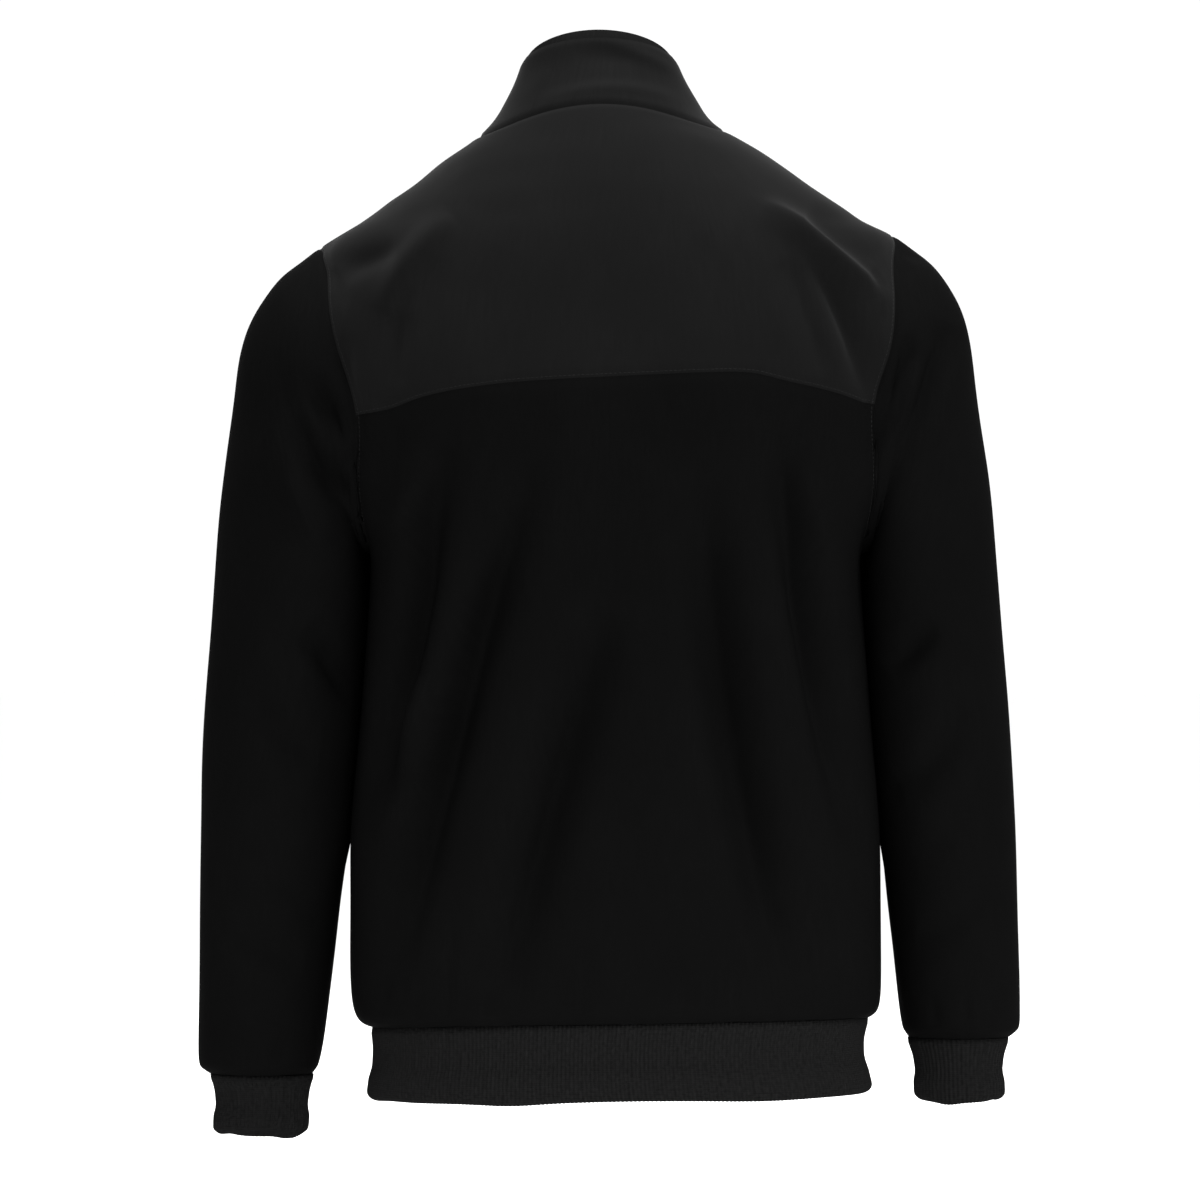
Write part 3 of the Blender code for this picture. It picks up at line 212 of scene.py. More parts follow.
SLEEVE_BACK_CREASES = {
    LEFT: (
        (211, -188, 196, -210, 180, -232, 4, 1.6, 0.5),
        (229, -202, 204, -248, 183, -262, 4.5, 1.9, -0.5),
        (226, -250, 212, -282, 199, -302, 4.5, -1.3, 0.5),
        (238, -160, 224, -196, 208, -226, 8, 1.2, 0.3),
        (252, -236, 240, -290, 226, -338, 11, 1.4),
        (202, -372, 190, -398, 181, -412, 4, 1.8, 0.4),
        (230, -352, 214, -372, 196, -390, 6, 1.3, -0.3),
        (268, -372, 250, -402, 232, -424, 8, 1.4, 0.3),
        (256, -468, 238, -500, 214, -516, 10, 1.4),
        (246, -520, 230, -540, 206, -548, 8, 1.3, 0.4),
        (262, -618, 246, -636, 222, -642, 7, 1.3, -0.3),
        (232, -650, 233, -660, 235, -670, 4, 1.2),
        (252, -648, 252, -660, 252, -671, 4, 1.4),
        (272, -652, 270, -662, 268, -672, 4, 1.1),
    ),
    RIGHT: (
        (241, -146, 226, -190, 199, -240, 4.5, 2, -0.5),
        (215, -156, 204, -179, 188, -208, 4, 1.6, 0.4),
        (221, -170, 209, -206, 195, -236, 4, -1.4, -0.5),
        (200, -88, 212, -94, 224, -99, 4, 1.6, 0.3),
        (249, -166, 242, -184, 237, -202, 5, -1.2, 0.3),
        (252, -232, 240, -286, 226, -332, 11, 1.4),
        (232, -360, 214, -374, 196, -386, 4, 1.6, 0.4),
        (206, -462, 204, -472, 200, -484, 5, 1.6),
        (262, -386, 246, -410, 228, -426, 8, 1.3),
        (258, -480, 240, -506, 216, -524, 9, 1.3, 0.3),
        (268, -586, 250, -606, 224, -614, 8, 1.4, -0.3),
        (230, -622, 232, -634, 234, -645, 4, 1.2),
        (254, -620, 254, -632, 254, -645, 4, 1.4),
        (274, -626, 272, -636, 270, -646, 4, 1.1),
    ),
}
SLEEVE_FRONT_CREASES = {
    LEFT: (
        (232, -162, 214, -206, 192, -244, 4.5, 1.8, 0.4),
        (254, -228, 226, -262, 198, -281, 5, 1.5, -0.4),
        (266, -354, 234, -384, 196, -397, 5, 2, 0.5),
        (262, -411, 232, -430, 200, -432, 5, 1.8, -0.5),
        (250, -440, 226, -458, 200, -462, 7, 1.8, 0.3),
        (252, -300, 238, -326, 216, -340, 9, 1.4),
        (270, -586, 246, -606, 212, -612, 9, 1.6, 0.3),
        (242, -648, 243, -660, 243, -671, 4, 1.3),
        (264, -648, 263, -660, 262, -671, 4, 1.2),
    ),
    RIGHT: (
        (236, -152, 218, -196, 196, -238, 4.5, 1.8, -0.4),
        (252, -216, 228, -250, 202, -275, 5, 1.5, 0.4),
        (262, -342, 232, -372, 202, -383, 5, 2, -0.5),
        (258, -399, 230, -418, 206, -423, 5, 1.8, 0.5),
        (250, -430, 228, -446, 206, -452, 7, 1.8),
        (250, -290, 238, -314, 218, -328, 9, 1.4),
        (268, -566, 246, -586, 216, -592, 9, 1.5, 0.3),
        (240, -620, 241, -632, 242, -645, 4, 1.3),
        (262, -620, 261, -632, 260, -645, 4, 1.2),
    ),
}

# Points along a fold, and how many widths from it the cloth still moves
FOLD_POINTS, FOLD_REACH = 14, 3
# Where folds die out: at their ends, by the cloth's facing (the y of its normal), at the hem's
# seam, beside the zip and at the neck
FOLD_ENDS, FOLD_END_FADE = (0.02, 0.98), 0.7
FOLD_LOST_AT, FOLD_WHOLE_AT = 0.05, 0.50
HEM_SEAM_Z, HEM_FADE = -640 * MM, 34 * MM
ZIP_HALF_GAP, ZIP_FADE = 4 * MM, 22 * MM
COLLAR_FOLDS_ABOVE, COLLAR_FADE = 2 * MM, 8 * MM
BODY_CENTRE_X = -4.5 * MM
# Slow unevenness of filled-out cloth
UNEVEN_HEIGHT, UNEVEN_ACROSS, UNEVEN_DOWN = 0.7 * MM, 34 * MM, 80 * MM
COLLAR_SMOOTHER = 0.7

# How much deeper the folds are than on the plain solids, by height on the body and on the sleeves
DEEPER_Z, DEEPER_BODY = np.array((-640, -330, -230)) * MM, (2.6, 2.3, 0.6)
DEEPER_SLEEVE = 0.6

# Below the armhole each sleeve swells towards the body, in front of the body's widest line, so
# that no light passes between them: heights, and how far the sleeve swells there
SLEEVE_SWELL_Z = np.array((-530, -500, -440, -380, -340, -318, -310, -300, -285)) * MM
SLEEVE_SWELL = np.array((0, 2.2, 2.2, 2.8, 3.9, 6, 7.6, 6.8, 0)) * MM
SLEEVE_SWELL_Y, SLEEVE_SWELL_WIDTH = -20 * MM, 17 * MM
SWELL_LOST_AT, SWELL_FADE = 0.3, 0.4

# The neck's seam at the back lies lower than on the solids, most of all at its sides. The cloth
# beside it slides down and a little outwards, in steps
NECK_LOWER, NECK_LOWER_AT_SIDES, NECK_SIDE_X = 6.5 * MM, 4.5 * MM, 80 * MM
NECK_SHIFT_REACH, NECK_SHIFT_STEPS, NECK_SHIFT_OUT = 24 * MM, 4, 0.8
NECK_SHIFT_FROM_Y, LEAST_SHIFT = -40 * MM, 0.01 * MM

# Reading a node's wall: its triangles' corners meet this closely, it is no thicker than this,
# its two sides face this far apart, and no fold within one side is sharper
CORNERS_MEET, THICKEST_WALL = 0.01 * MM, 2.8 * MM
OPPOSITE, SHARPEST_FOLD = -0.9, 0.9
# The neighbouring panels' edges lie this close together across a seam
SEAM_REACH = 0.45 * MM
# Rounds that take the solids' own folds out of the joined cloth
FLATTEN_ROUNDS = 4
# Rounds that space the points of the joined cloth, whole above a height and fading below it
SPREAD_ROUNDS, SPREAD_ABOVE, SPREAD_FADE = 10, -500 * MM, 80 * MM
SURFACE_LEVEL, SURFACE_TRIES, FINE_LEVEL, FINE_TRIES = 2, 6, 3, 12
# Evening out the fine mesh: rounds, and the two steps of each
EVEN_ROUNDS, EVEN_STEPS = 12, (0.5, -0.52)

# A panel's edge turns under at its seams: how deep, and how far from the edge this starts. The
# places along a seam are found in steps, and the edges that the ribs are sewn to stay
SOFTSHELL, JERSEY = 1.6 * MM, 1.2 * MM
EDGE_STRIP, SEAM_HALF_GAP = 0.8 * MM, 0.02 * MM
EDGE_TURN, NECK_TURN = (1.0 * MM, 1.9 * MM), (2.3 * MM, 2.8 * MM)
SEAM_STEPS, LEVEL_EDGE, OPEN_RIB_EDGE_BELOW = 5, 0.5, -500 * MM
SHARP_RIM = math.radians(55)
JERSEY_ROLL = 0.45 * MM


def smooth_step(x):
    x = np.clip(x, 0, 1)
    return x * x * (3 - 2 * x)


def unit(vectors):
    return vectors / np.maximum(np.linalg.norm(vectors, axis=-1, keepdims=True), 1e-12)


def distances(path):
    """How far along a path each of its points is."""
    return np.concatenate([[0], np.cumsum(np.linalg.norm(np.diff(path, axis=0), axis=1))])


def point_at(values, measures, at):
    """The point, or the way, where a path's measures reach a value."""
    return np.array([np.interp(at, measures, column) for column in values.T])


# ---- Folds ----


def fold_path(fold):
    """A smooth line through the fold's three points, as seen square on."""
    start, middle, end = (np.array([fold["x" + n], fold["z" + n]]) * MM for n in "123")
    bend = 2 * middle - (start + end) / 2
    s = np.linspace(0, 1, FOLD_POINTS)[:, None]
    return (1 - s) ** 2 * start + 2 * s * (1 - s) * bend + s**2 * end


def fold_height(folds, x, z):
    """How far the folds push the cloth out at each place, seen square on."""
    height = np.zeros(len(x))
    for row in folds:
        fold = dict(zip(FOLD_COLUMNS, row))
        path = fold_path(fold)
        width, depth, lean = fold["width"] * MM, fold["depth"] * MM, fold.get("lean", 0)
        low, high = path.min(0) - FOLD_REACH * width, path.max(0) + FOLD_REACH * width
        near = np.flatnonzero((x > low[0]) & (x < high[0]) & (z > low[1]) & (z < high[1]))
        place = np.stack([x[near], z[near]], axis=-1)[:, None]
        start, run = path[:-1], np.diff(path, axis=0)
        part = np.clip(((place - start) * run).sum(-1) / (run**2).sum(-1), 0, 1)
        offset = place - start - part[..., None] * run
        away = np.linalg.norm(offset, axis=-1)
        nearest = away.argmin(-1)
        spot = (np.arange(len(near)), nearest)
        along = (nearest + part[spot]) / len(run)
        turn = run[nearest, 0] * offset[spot][:, 1] - run[nearest, 1] * offset[spot][:, 0]
        side = np.sign(turn) * away[spot] / width
        fade = np.sin(math.pi * np.clip(along, *FOLD_ENDS)) ** FOLD_END_FADE
        height[near] -= depth * fade * np.exp(-(side**2)) * (1 + lean * side)
    return height


def facing(normals, way):
    """1 where the cloth faces the back (way 1) or the front (way -1), fading round the sides."""
    return smooth_step((way * normals[:, 1] - FOLD_LOST_AT) / (FOLD_WHOLE_AT - FOLD_LOST_AT))


def back_and_front(points, normals, back, front, side=1):
    seen = points[:, 0] * side, points[:, 2]
    return fold_height(back, *seen) * facing(normals, 1), fold_height(front, *seen) * facing(normals, -1)


def with_sleeves(height, points, normals, back, front, in_sleeve):
    """The body's height with the sleeves' folds. in_sleeve gives each point's share in a sleeve."""
    height = height * (1 - in_sleeve[LEFT] - in_sleeve[RIGHT])
    for side in (LEFT, RIGHT):
        folds = back_and_front(points, normals, back[side], front[side], side)
        height += sum(folds) * in_sleeve[side]
    return height


def large_folds(points, normals, in_sleeve):
    """The height of the solids' own folds."""
    back, front = back_and_front(points, normals, BACK_FOLDS, FRONT_FOLDS)
    front = front * smooth_step((np.abs(points[:, 0] - BODY_CENTRE_X) - ZIP_HALF_GAP) / ZIP_FADE)
    height = (back + front) * smooth_step((points[:, 2] - HEM_SEAM_Z) / HEM_FADE)
    return with_sleeves(height, points, normals, SLEEVE_BACK_FOLDS, SLEEVE_FRONT_FOLDS, in_sleeve)


def fine_folds(points, normals, in_sleeve):
    """The height of the finer creases and of the cloth's slow unevenness."""
    on_collar = smooth_step((points[:, 2] - COLLAR_FOLDS_ABOVE) / COLLAR_FADE)
    body = sum(back_and_front(points, normals, BACK_CREASES, FRONT_CREASES))
    collar = fold_height(COLLAR_CREASES, points[:, 0], points[:, 2]) * facing(normals, 1)
    height = body * (1 - on_collar) + collar * on_collar
    height = with_sleeves(height, points, normals, SLEEVE_BACK_CREASES, SLEEVE_FRONT_CREASES, in_sleeve)
    scale = 1 / np.array([UNEVEN_ACROSS, UNEVEN_ACROSS, UNEVEN_DOWN])
    uneven = np.array([noise.noise(Vector(place)) for place in points * scale])
    return height + uneven * UNEVEN_HEIGHT * (1 - COLLAR_SMOOTHER * on_collar)


# ---- Meshes ----


def bmesh_of(mesh):
    shape = bmesh.new()
    shape.from_mesh(mesh)
    return shape


def write_back(shape, mesh):
    shape.to_mesh(mesh)
    shape.free()


def new_mesh_object(name, points, faces):
    mesh = bpy.data.meshes.new(name)
    mesh.from_pydata([tuple(point) for point in points], [], faces)
    piece = bpy.data.objects.new(name, mesh)
    bpy.context.scene.collection.objects.link(piece)
    return piece


def mesh_points(mesh, kind="co"):
    flat = np.empty(len(mesh.vertices) * 3)
    mesh.vertices.foreach_get(kind, flat)
    return flat.reshape(-1, 3)


def set_points(mesh, points):
    mesh.vertices.foreach_set("co", points.ravel())
    mesh.update()


def point_tree(places):
    tree = KDTree(len(places))
    for number, place in enumerate(places):
        tree.insert(place, number)
    tree.balance()
    return tree


def panels_at(part):
    """The numbers of the panels that an edge or a corner belongs to."""
    return {face.material_index for face in part.link_faces}


def turned_outwards(piece):
    shape = bmesh_of(piece.data)
    bmesh.ops.recalc_face_normals(shape, faces=shape.faces)
    write_back(shape, piece.data)


def apply_modifiers(piece):
    bpy.ops.object.select_all(action="DESELECT")
    bpy.context.view_layer.objects.active = piece
    piece.select_set(True)
    for modifier in list(piece.modifiers):
        bpy.ops.object.modifier_apply(modifier=modifier.name)


def smoothed(piece, level=FINE_LEVEL, tries=FINE_TRIES):
    """A finer mesh that passes through the piece's points: its points are moved until the
    subdivided surface meets where they were."""
    wanted = mesh_points(piece.data)
    finer = piece.modifiers.new("finer", "SUBSURF")
    finer.boundary_smooth = "PRESERVE_CORNERS"
    finer.levels = finer.render_levels = 1
    for _ in range(tries):
        bpy.context.view_layer.update()
        result = piece.evaluated_get(bpy.context.evaluated_depsgraph_get()).data
        miss = wanted - mesh_points(result)[: len(wanted)]
        set_points(piece.data, mesh_points(piece.data) + miss)
    finer.levels = finer.render_levels = level
    bpy.context.view_layer.update()
    graph = bpy.context.evaluated_depsgraph_get()
    fine = bpy.data.meshes.new_from_object(piece.evaluated_get(graph))
    piece.modifiers.remove(finer)
    return fine


def write_grain(piece, across, down, girth=None):
    """The cloth's grain as a map in metres. Where a girth is given, a face's corners are kept
    together where the map comes round to its start."""
    mesh = piece.data
    layer = mesh.uv_layers.new(name="grain")
    corners = np.empty(len(mesh.loops), int)
    mesh.loops.foreach_get("vertex_index", corners)
    uv = np.stack([across[corners], down[corners]], axis=1)
    if girth:
        starts = np.empty(len(mesh.polygons), int)
        mesh.polygons.foreach_get("loop_start", starts)
        first = np.repeat(uv[starts, 0], np.diff(np.append(starts, len(corners))))
        uv[:, 0] -= np.round((uv[:, 0] - first) / girth) * girth
    layer.data.foreach_set("uv", uv.ravel())


# ---- The nodes' own sheets ----


def node_shape(name):
    shape = bmesh_of(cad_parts[name].data)
    bmesh.ops.remove_doubles(shape, verts=shape.verts, dist=CORNERS_MEET)
    return shape


def outer_sheet(name):
    """The outer side of a node's wall, as a bmesh of triangles: the larger of its two sheets,
    whose faces have the other sheet close behind them."""
    shape = node_shape(name)
    shape.normal_update()
    wall = BVHTree.FromBMesh(shape)
    backed = set()
    for face in shape.faces:
        behind = face.calc_center_median() - face.normal * CORNERS_MEET
        hit, normal, _, _ = wall.ray_cast(behind, -face.normal, THICKEST_WALL)
        if hit is not None and normal.dot(face.normal) < OPPOSITE:
            backed.add(face)
    sheets = []
    while backed:
        waiting = [backed.pop()]
        sheet = set(waiting)
        while waiting:
            for edge in waiting.pop().edges:
                if edge.calc_face_angle() > SHARPEST_FOLD:
                    continue
                beside = backed.intersection(edge.link_faces)
                backed -= beside
                sheet |= beside
                waiting += beside
        sheets.append(sheet)
    largest = max(sheets, key=lambda sheet: sum(face.calc_area() for face in sheet))
    outer = {vert for face in largest for vert in face.verts}
    spare = [face for face in shape.faces if not outer.issuperset(face.verts)]
    bmesh.ops.delete(shape, geom=spare, context="FACES")
    return shape


def outer_squares(name, influence):
    """The points and faces of a node's outer sheet, its triangles paired into squares."""
    shape = outer_sheet(name)
    bmesh.ops.join_triangles(
        shape,
        faces=shape.faces,
        angle_face_threshold=math.pi,
        angle_shape_threshold=math.pi,
        topology_influence=influence,
    )
    shape.verts.index_update()
    points = np.array([vert.co for vert in shape.verts])
    faces = [[vert.index for vert in face.verts] for face in shape.faces]
    shape.free()
    return points, faces


def joined_shell():
    """The panels' outer sheets in squares, joined where their edges meet across a seam."""
    points, faces, panel_of_face, panel_of_point = [], [], [], []
    for number, name in enumerate(PANELS):
        sheet_points, sheet_faces = outer_squares(name, influence=1.5)
        start = len(panel_of_point)
        points.append(sheet_points)
        faces += [[corner + start for corner in face] for face in sheet_faces]
        panel_of_face += [number] * len(sheet_faces)
        panel_of_point += [number] * len(sheet_points)
    points = np.concatenate(points)
    near = point_tree(points)
    first = np.arange(len(points))
    for number, point in enumerate(points):
        for _, other, _ in near.find_range(point, SEAM_REACH):
            if panel_of_point[other] != panel_of_point[number]:
                low, high = sorted((first[number], first[other]))
                first[first == high] = low
    kept, same = np.unique(first, return_inverse=True)
    total = np.zeros((len(kept), 3))
    np.add.at(total, same, points)
    joined = total / np.bincount(same)[:, None]
    return joined, [same[face].tolist() for face in faces], np.array(panel_of_face)


# ---- Cloth panels ----


def close_small_holes(piece):
    """Fills holes of a single face, each with its neighbour's panel."""
    shape = bmesh_of(piece.data)
    for face in bmesh.ops.holes_fill(shape, edges=shape.edges, sides=4)["faces"]:
        face.material_index = max(max(panels_at(edge)) for edge in face.edges)
    write_back(shape, piece.data)


def spread_points(piece):
    """Slides the points along the cloth's own surface until their rows are about evenly spaced.
    Points on seams and open edges stay, and so do those low down, where the rows follow the hems."""
    plain = mesh_points(piece.data)
    fine = smoothed(piece, SURFACE_LEVEL, SURFACE_TRIES)
    set_points(piece.data, plain)
    corners = [tuple(face.vertices) for face in fine.polygons]
    surface = BVHTree.FromPolygons(mesh_points(fine).tolist(), corners)
    bpy.data.meshes.remove(fine)
    shape = bmesh_of(piece.data)
    free = [vert for vert in shape.verts if not vert.is_boundary and len(panels_at(vert)) == 1]
    for _ in range(SPREAD_ROUNDS):
        wanted = []
        for vert in free:
            beside = [edge.other_vert(vert).co for edge in vert.link_edges]
            share = float(smooth_step((vert.co.z - SPREAD_ABOVE) / SPREAD_FADE)) / 2
            middle = sum(beside, Vector()) / len(beside)
            wanted.append(surface.find_nearest(vert.co.lerp(middle, share))[0])
        for vert, place in zip(free, wanted):
            vert.co = place
    write_back(shape, piece.data)


def even_out(mesh):
    """Takes small ripples out of a mesh without shrinking it. Its open edges stay where they are."""
    points = mesh_points(mesh)
    ends = np.empty(len(mesh.edges) * 2, int)
    mesh.edges.foreach_get("vertices", ends)
    ends = ends.reshape(-1, 2)
    sides = np.zeros(len(mesh.edges), int)
    for face in mesh.polygons:
        sides[[mesh.loops[corner].edge_index for corner in face.loop_indices]] += 1
    loose = np.ones(len(points))
    loose[ends[sides < 2]] = 0
    count = np.bincount(ends.ravel(), minlength=len(points))[:, None]
    for step in EVEN_STEPS * EVEN_ROUNDS:
        total = np.zeros_like(points)
        np.add.at(total, ends[:, 0], points[ends[:, 1]])
        np.add.at(total, ends[:, 1], points[ends[:, 0]])
        points += step * loose[:, None] * (total / count - points)
    set_points(mesh, points)


def lower_neck_seam(mesh):
    """Slides the cloth along its own surface so that the neck's seam lies lower at the back."""
    shape = bmesh_of(mesh)
    surface = BVHTree.FromBMesh(shape)
    collar = PANELS.index("collar")
    seam = [edge for edge in shape.edges if collar in panels_at(edge) and len(panels_at(edge)) == 2]
    near = point_tree([(edge.verts[0].co + edge.verts[1].co) / 2 for edge in seam])
    moved = []
    for vert in shape.verts:
        place = vert.co.copy()
        share = math.exp(-((near.find(place)[2] / NECK_SHIFT_REACH) ** 2))
        share *= float(smooth_step((place.y - NECK_SHIFT_FROM_Y) / -NECK_SHIFT_FROM_Y))
        across = min(1, abs(place.x - BODY_CENTRE_X) / NECK_SIDE_X)
        drop = share * (NECK_LOWER + NECK_LOWER_AT_SIDES * across**2)
        if drop > LEAST_SHIFT:
            out = Vector((place.x - BODY_CENTRE_X, place.y, 0)).normalized()
            way = out * NECK_SHIFT_OUT - Vector((0, 0, 1))
            for _ in range(NECK_SHIFT_STEPS):
                place = surface.find_nearest(place + way * drop / NECK_SHIFT_STEPS)[0]
        moved.append(place)
    shape.free()
    set_points(mesh, np.array(moved))


def sleeve_swell(points, normals, in_sleeve):
    """How far each point moves along X, towards the body."""
    height = np.interp(points[:, 2], SLEEVE_SWELL_Z, SLEEVE_SWELL)
    height *= np.exp(-(((points[:, 1] - SLEEVE_SWELL_Y) / SLEEVE_SWELL_WIDTH) ** 2))
    move = np.zeros(len(points))
    for side in (LEFT, RIGHT):
        inward = smooth_step((-side * normals[:, 0] - SWELL_LOST_AT) / SWELL_FADE)
        move -= side * height * inward * in_sleeve[side]
    return move


def creased_shell():
    """The joined cloth, fine and creased, with each face's panel as its material number."""
    points, faces, panel = joined_shell()
    shell = new_mesh_object("joined_cloth", points, faces)
    shell.data.polygons.foreach_set("material_index", panel)
    close_small_holes(shell)
    for name in PANELS:
        shell.data.materials.append(bpy.data.materials.new(name))
    in_sleeve = {}
    for name, side in SLEEVE_SIDES.items():
        share = in_sleeve[side] = np.ones(len(points))
        for face, number in zip(faces, panel):
            if number != PANELS.index(name):
                share[face] = 0
        shell.data.attributes.new(name, "FLOAT", "POINT").data.foreach_set("value", share)
    plain = points.copy()
    for _ in range(FLATTEN_ROUNDS):
        set_points(shell.data, plain)
        normals = mesh_points(shell.data, "normal")
        plain = points - normals * large_folds(plain, normals, in_sleeve)[:, None]
    set_points(shell.data, plain)
    spread_points(shell)
    fine = smoothed(shell)
    even_out(fine)
    lower_neck_seam(fine)
    for name, side in SLEEVE_SIDES.items():
        share = np.empty(len(fine.vertices))
        fine.attributes[name].data.foreach_get("value", share)
        in_sleeve[side] = np.clip(share, 0, 1)
    plain, normals = mesh_points(fine), mesh_points(fine, "normal")
    body = np.interp(plain[:, 2], DEEPER_Z, DEEPER_BODY)
    deeper = 1 + body + (DEEPER_SLEEVE - body) * (in_sleeve[LEFT] + in_sleeve[RIGHT])
    height = deeper * large_folds(plain, normals, in_sleeve) + fine_folds(plain, normals, in_sleeve)
    creased = plain + normals * height[:, None]
    creased[:, 0] += sleeve_swell(plain, normals, in_sleeve)
    set_points(fine, creased)
    bpy.data.objects.remove(shell)
    return fine


def seam_samples(mesh):
    """Places close together along the seams and open edges, as a tree, and whether each is on
    the neck's seam. The edges that the ribs are sewn to are turned already."""
    shape = bmesh_of(mesh)
    places, at_neck = [], []
    for edge in shape.edges:
        if len(panels_at(edge)) == 1 and not edge.is_boundary:
            continue
        one, two = (np.array(vert.co) for vert in edge.verts)
        level = abs(two[2] - one[2]) < LEVEL_EDGE * np.linalg.norm(two - one)
        if edge.is_boundary and level and one[2] < OPEN_RIB_EDGE_BELOW:
            continue
        places += [one + (two - one) * step / SEAM_STEPS for step in range(SEAM_STEPS)]
        at_neck += [PANELS.index("collar") in panels_at(edge) and not edge.is_boundary] * SEAM_STEPS
    shape.free()
    return point_tree(places), at_neck


def panel_shape(mesh, number):
    """One panel cut from the joined cloth, with a narrow strip along its edges."""
    shape = bmesh_of(mesh)
    others = [face for face in shape.faces if face.material_index != number]
    bmesh.ops.delete(shape, geom=others, context="FACES")
    shape.normal_update()
    bmesh.ops.inset_region(
        shape, faces=shape.faces, use_boundary=True, use_even_offset=True, thickness=EDGE_STRIP
    )
    shape.normal_update()
    return shape


def turn_edges(shape, seams, is_collar):
    """Sinks a panel's edges under at its seams, and leaves a hair's gap there."""
    tree, at_neck = seams
    moves = []
    for vert in shape.verts:
        _, number, distance = tree.find(vert.co)
        depth, reach = NECK_TURN if at_neck[number] and is_collar else EDGE_TURN
        move = vert.normal * -(depth * math.exp(-((distance / reach) ** 2)))
        if vert.is_boundary:
            within = [edge for edge in vert.link_edges if not edge.is_boundary]
            inward = sum((edge.other_vert(vert).co - vert.co for edge in within), Vector())
            move += inward.normalized() * SEAM_HALF_GAP
        moves.append(move)
    for vert, move in zip(shape.verts, moves):
        vert.co += move


def give_thickness(piece, thickness):
    """A wall behind the sheet, with its rim closed."""
    wall = piece.modifiers.new("cloth thickness", "SOLIDIFY")
    wall.thickness, wall.offset = thickness, -1
    apply_modifiers(piece)
    piece.data.shade_smooth()
    piece.data.set_sharp_from_angle(angle=SHARP_RIM)


# The grain runs down each panel, and across it round the form on which the panel lies
RING_HALF_WIDTH, RING_HALF_DEPTH, RING_SQUARENESS, RING_STEPS = 190 * MM, 120 * MM, 0.8, 720
COLLAR_RADIUS, SLEEVE_RADIUS, SLEEVE_LEVELS = 62 * MM, 52 * MM, 30


def ring_table():
    """Angles round the body from the centre back, and the distances to them along its ring."""
    angle = np.linspace(-math.pi, math.pi, RING_STEPS + 1)
    ring = np.stack([np.sin(angle), np.cos(angle)], axis=1)
    ring = np.sign(ring) * np.abs(ring) ** RING_SQUARENESS * (RING_HALF_WIDTH, RING_HALF_DEPTH)
    turn, girth = np.unwrap(np.arctan2(*ring.T)), distances(ring)
    return turn - turn[RING_STEPS // 2], girth - girth[RING_STEPS // 2]


def grain_map(piece, name):
    points = mesh_points(piece.data)
    x, y, z = points.T
    girth = None
    if name in SLEEVE_SIDES:
        levels = np.linspace(z.min(), z.max(), SLEEVE_LEVELS)
        rows = np.digitize(z, levels[1:-1])
        centre = np.array([points[rows == row].mean(0) for row in range(SLEEVE_LEVELS - 1)])
        centre_x, centre_y, _ = point_at(centre, (levels[:-1] + levels[1:]) / 2, z)
        across = np.arctan2(x - centre_x, y - centre_y) * SLEEVE_RADIUS
        girth = FULL_TURN * SLEEVE_RADIUS
    else:
        angle = np.arctan2(x - BODY_CENTRE_X, y)
        in_collar = name.startswith("collar")
        across = angle * COLLAR_RADIUS if in_collar else np.interp(angle, *ring_table())
    write_grain(piece, across, z, girth)


def finish_cloth(piece, name, material):
    piece.data.materials.clear()
    piece.data.materials.append(material)
    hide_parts(name)
    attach(piece, "jacket")


def cut_panels(fine):
    """Each panel's piece by name, cut from the joined cloth."""
    seams = seam_samples(fine)
    panels = {}
    for number, name in enumerate(PANELS):
        shape = panel_shape(fine, number)
        turn_edges(shape, seams, name == "collar")
        piece = panels[name] = new_mesh_object(name + "_cloth", [], [])
        write_back(shape, piece.data)
        piece.data.materials.clear()
        grain_map(piece, name)
        give_thickness(piece, SOFTSHELL)
    return panels


def collar_facing():
    """The collar's inner layer of jersey, finer than its node, with a rolled top edge."""
    sheet = new_mesh_object("facing_sheet", *outer_squares("collar_facing", influence=1))
    piece = bpy.data.objects.new("collar_facing_jersey", smoothed(sheet))
    bpy.data.objects.remove(sheet)
    bpy.context.scene.collection.objects.link(piece)
    grain_map(piece, "collar_facing")
    give_thickness(piece, JERSEY)
    rounded = piece.modifiers.new("rolled edge", "BEVEL")
    rounded.width, rounded.segments, rounded.limit_method = JERSEY_ROLL, 2, "ANGLE"
    rounded.angle_limit = SHARP_RIM
    apply_modifiers(piece)
    piece.data.shade_smooth()
    return piece


# ---- Ribbed bands ----

RIB_CLOTH, RIB_RAISE = 2.0 * MM, 0.8 * MM
RIB_STEPS, RIB_ROUNDNESS, INNER_RIB_SHARE = 3, 0.7, 0.35
CLOSEST_COLUMNS, ROW_GAP = RIB_CLOTH - 0.03 * MM, 6 * MM
BAND_ROWS, ROWS_CLOSER_BELOW, ROLL_ROWS = 17, 1.5, 5
# The band's profile: how far it stands out at shares of its height from the top. At the front
# it follows only this share of the back's profile
PROFILE_AT = np.array((0, 0.07, 0.3, 0.5, 0.75, 0.92, 1))
BACK_PROFILE = np.array((-0.6, 1.0, -0.6, -0.6, 2.6, 2.2, 0.6)) * MM
SIDE_PROFILE = np.array((-0.6, 0.2, -0.6, -0.4, 1.8, 2.0, 1.0)) * MM
FRONT_BEND = 0.2
# The lower edge is drawn in round a curve, less at the back
LOWER_ROUND = {"hem_band": 8 * MM, "cuff_left": 7 * MM, "cuff_right": 7 * MM}
LOWER_DRAWN_IN = {"hem_band": 5.4 * MM, "cuff_left": 4.6 * MM, "cuff_right": 4.6 * MM}
BACK_DRAWN_IN, ROUNDEST = 0.35, 0.98
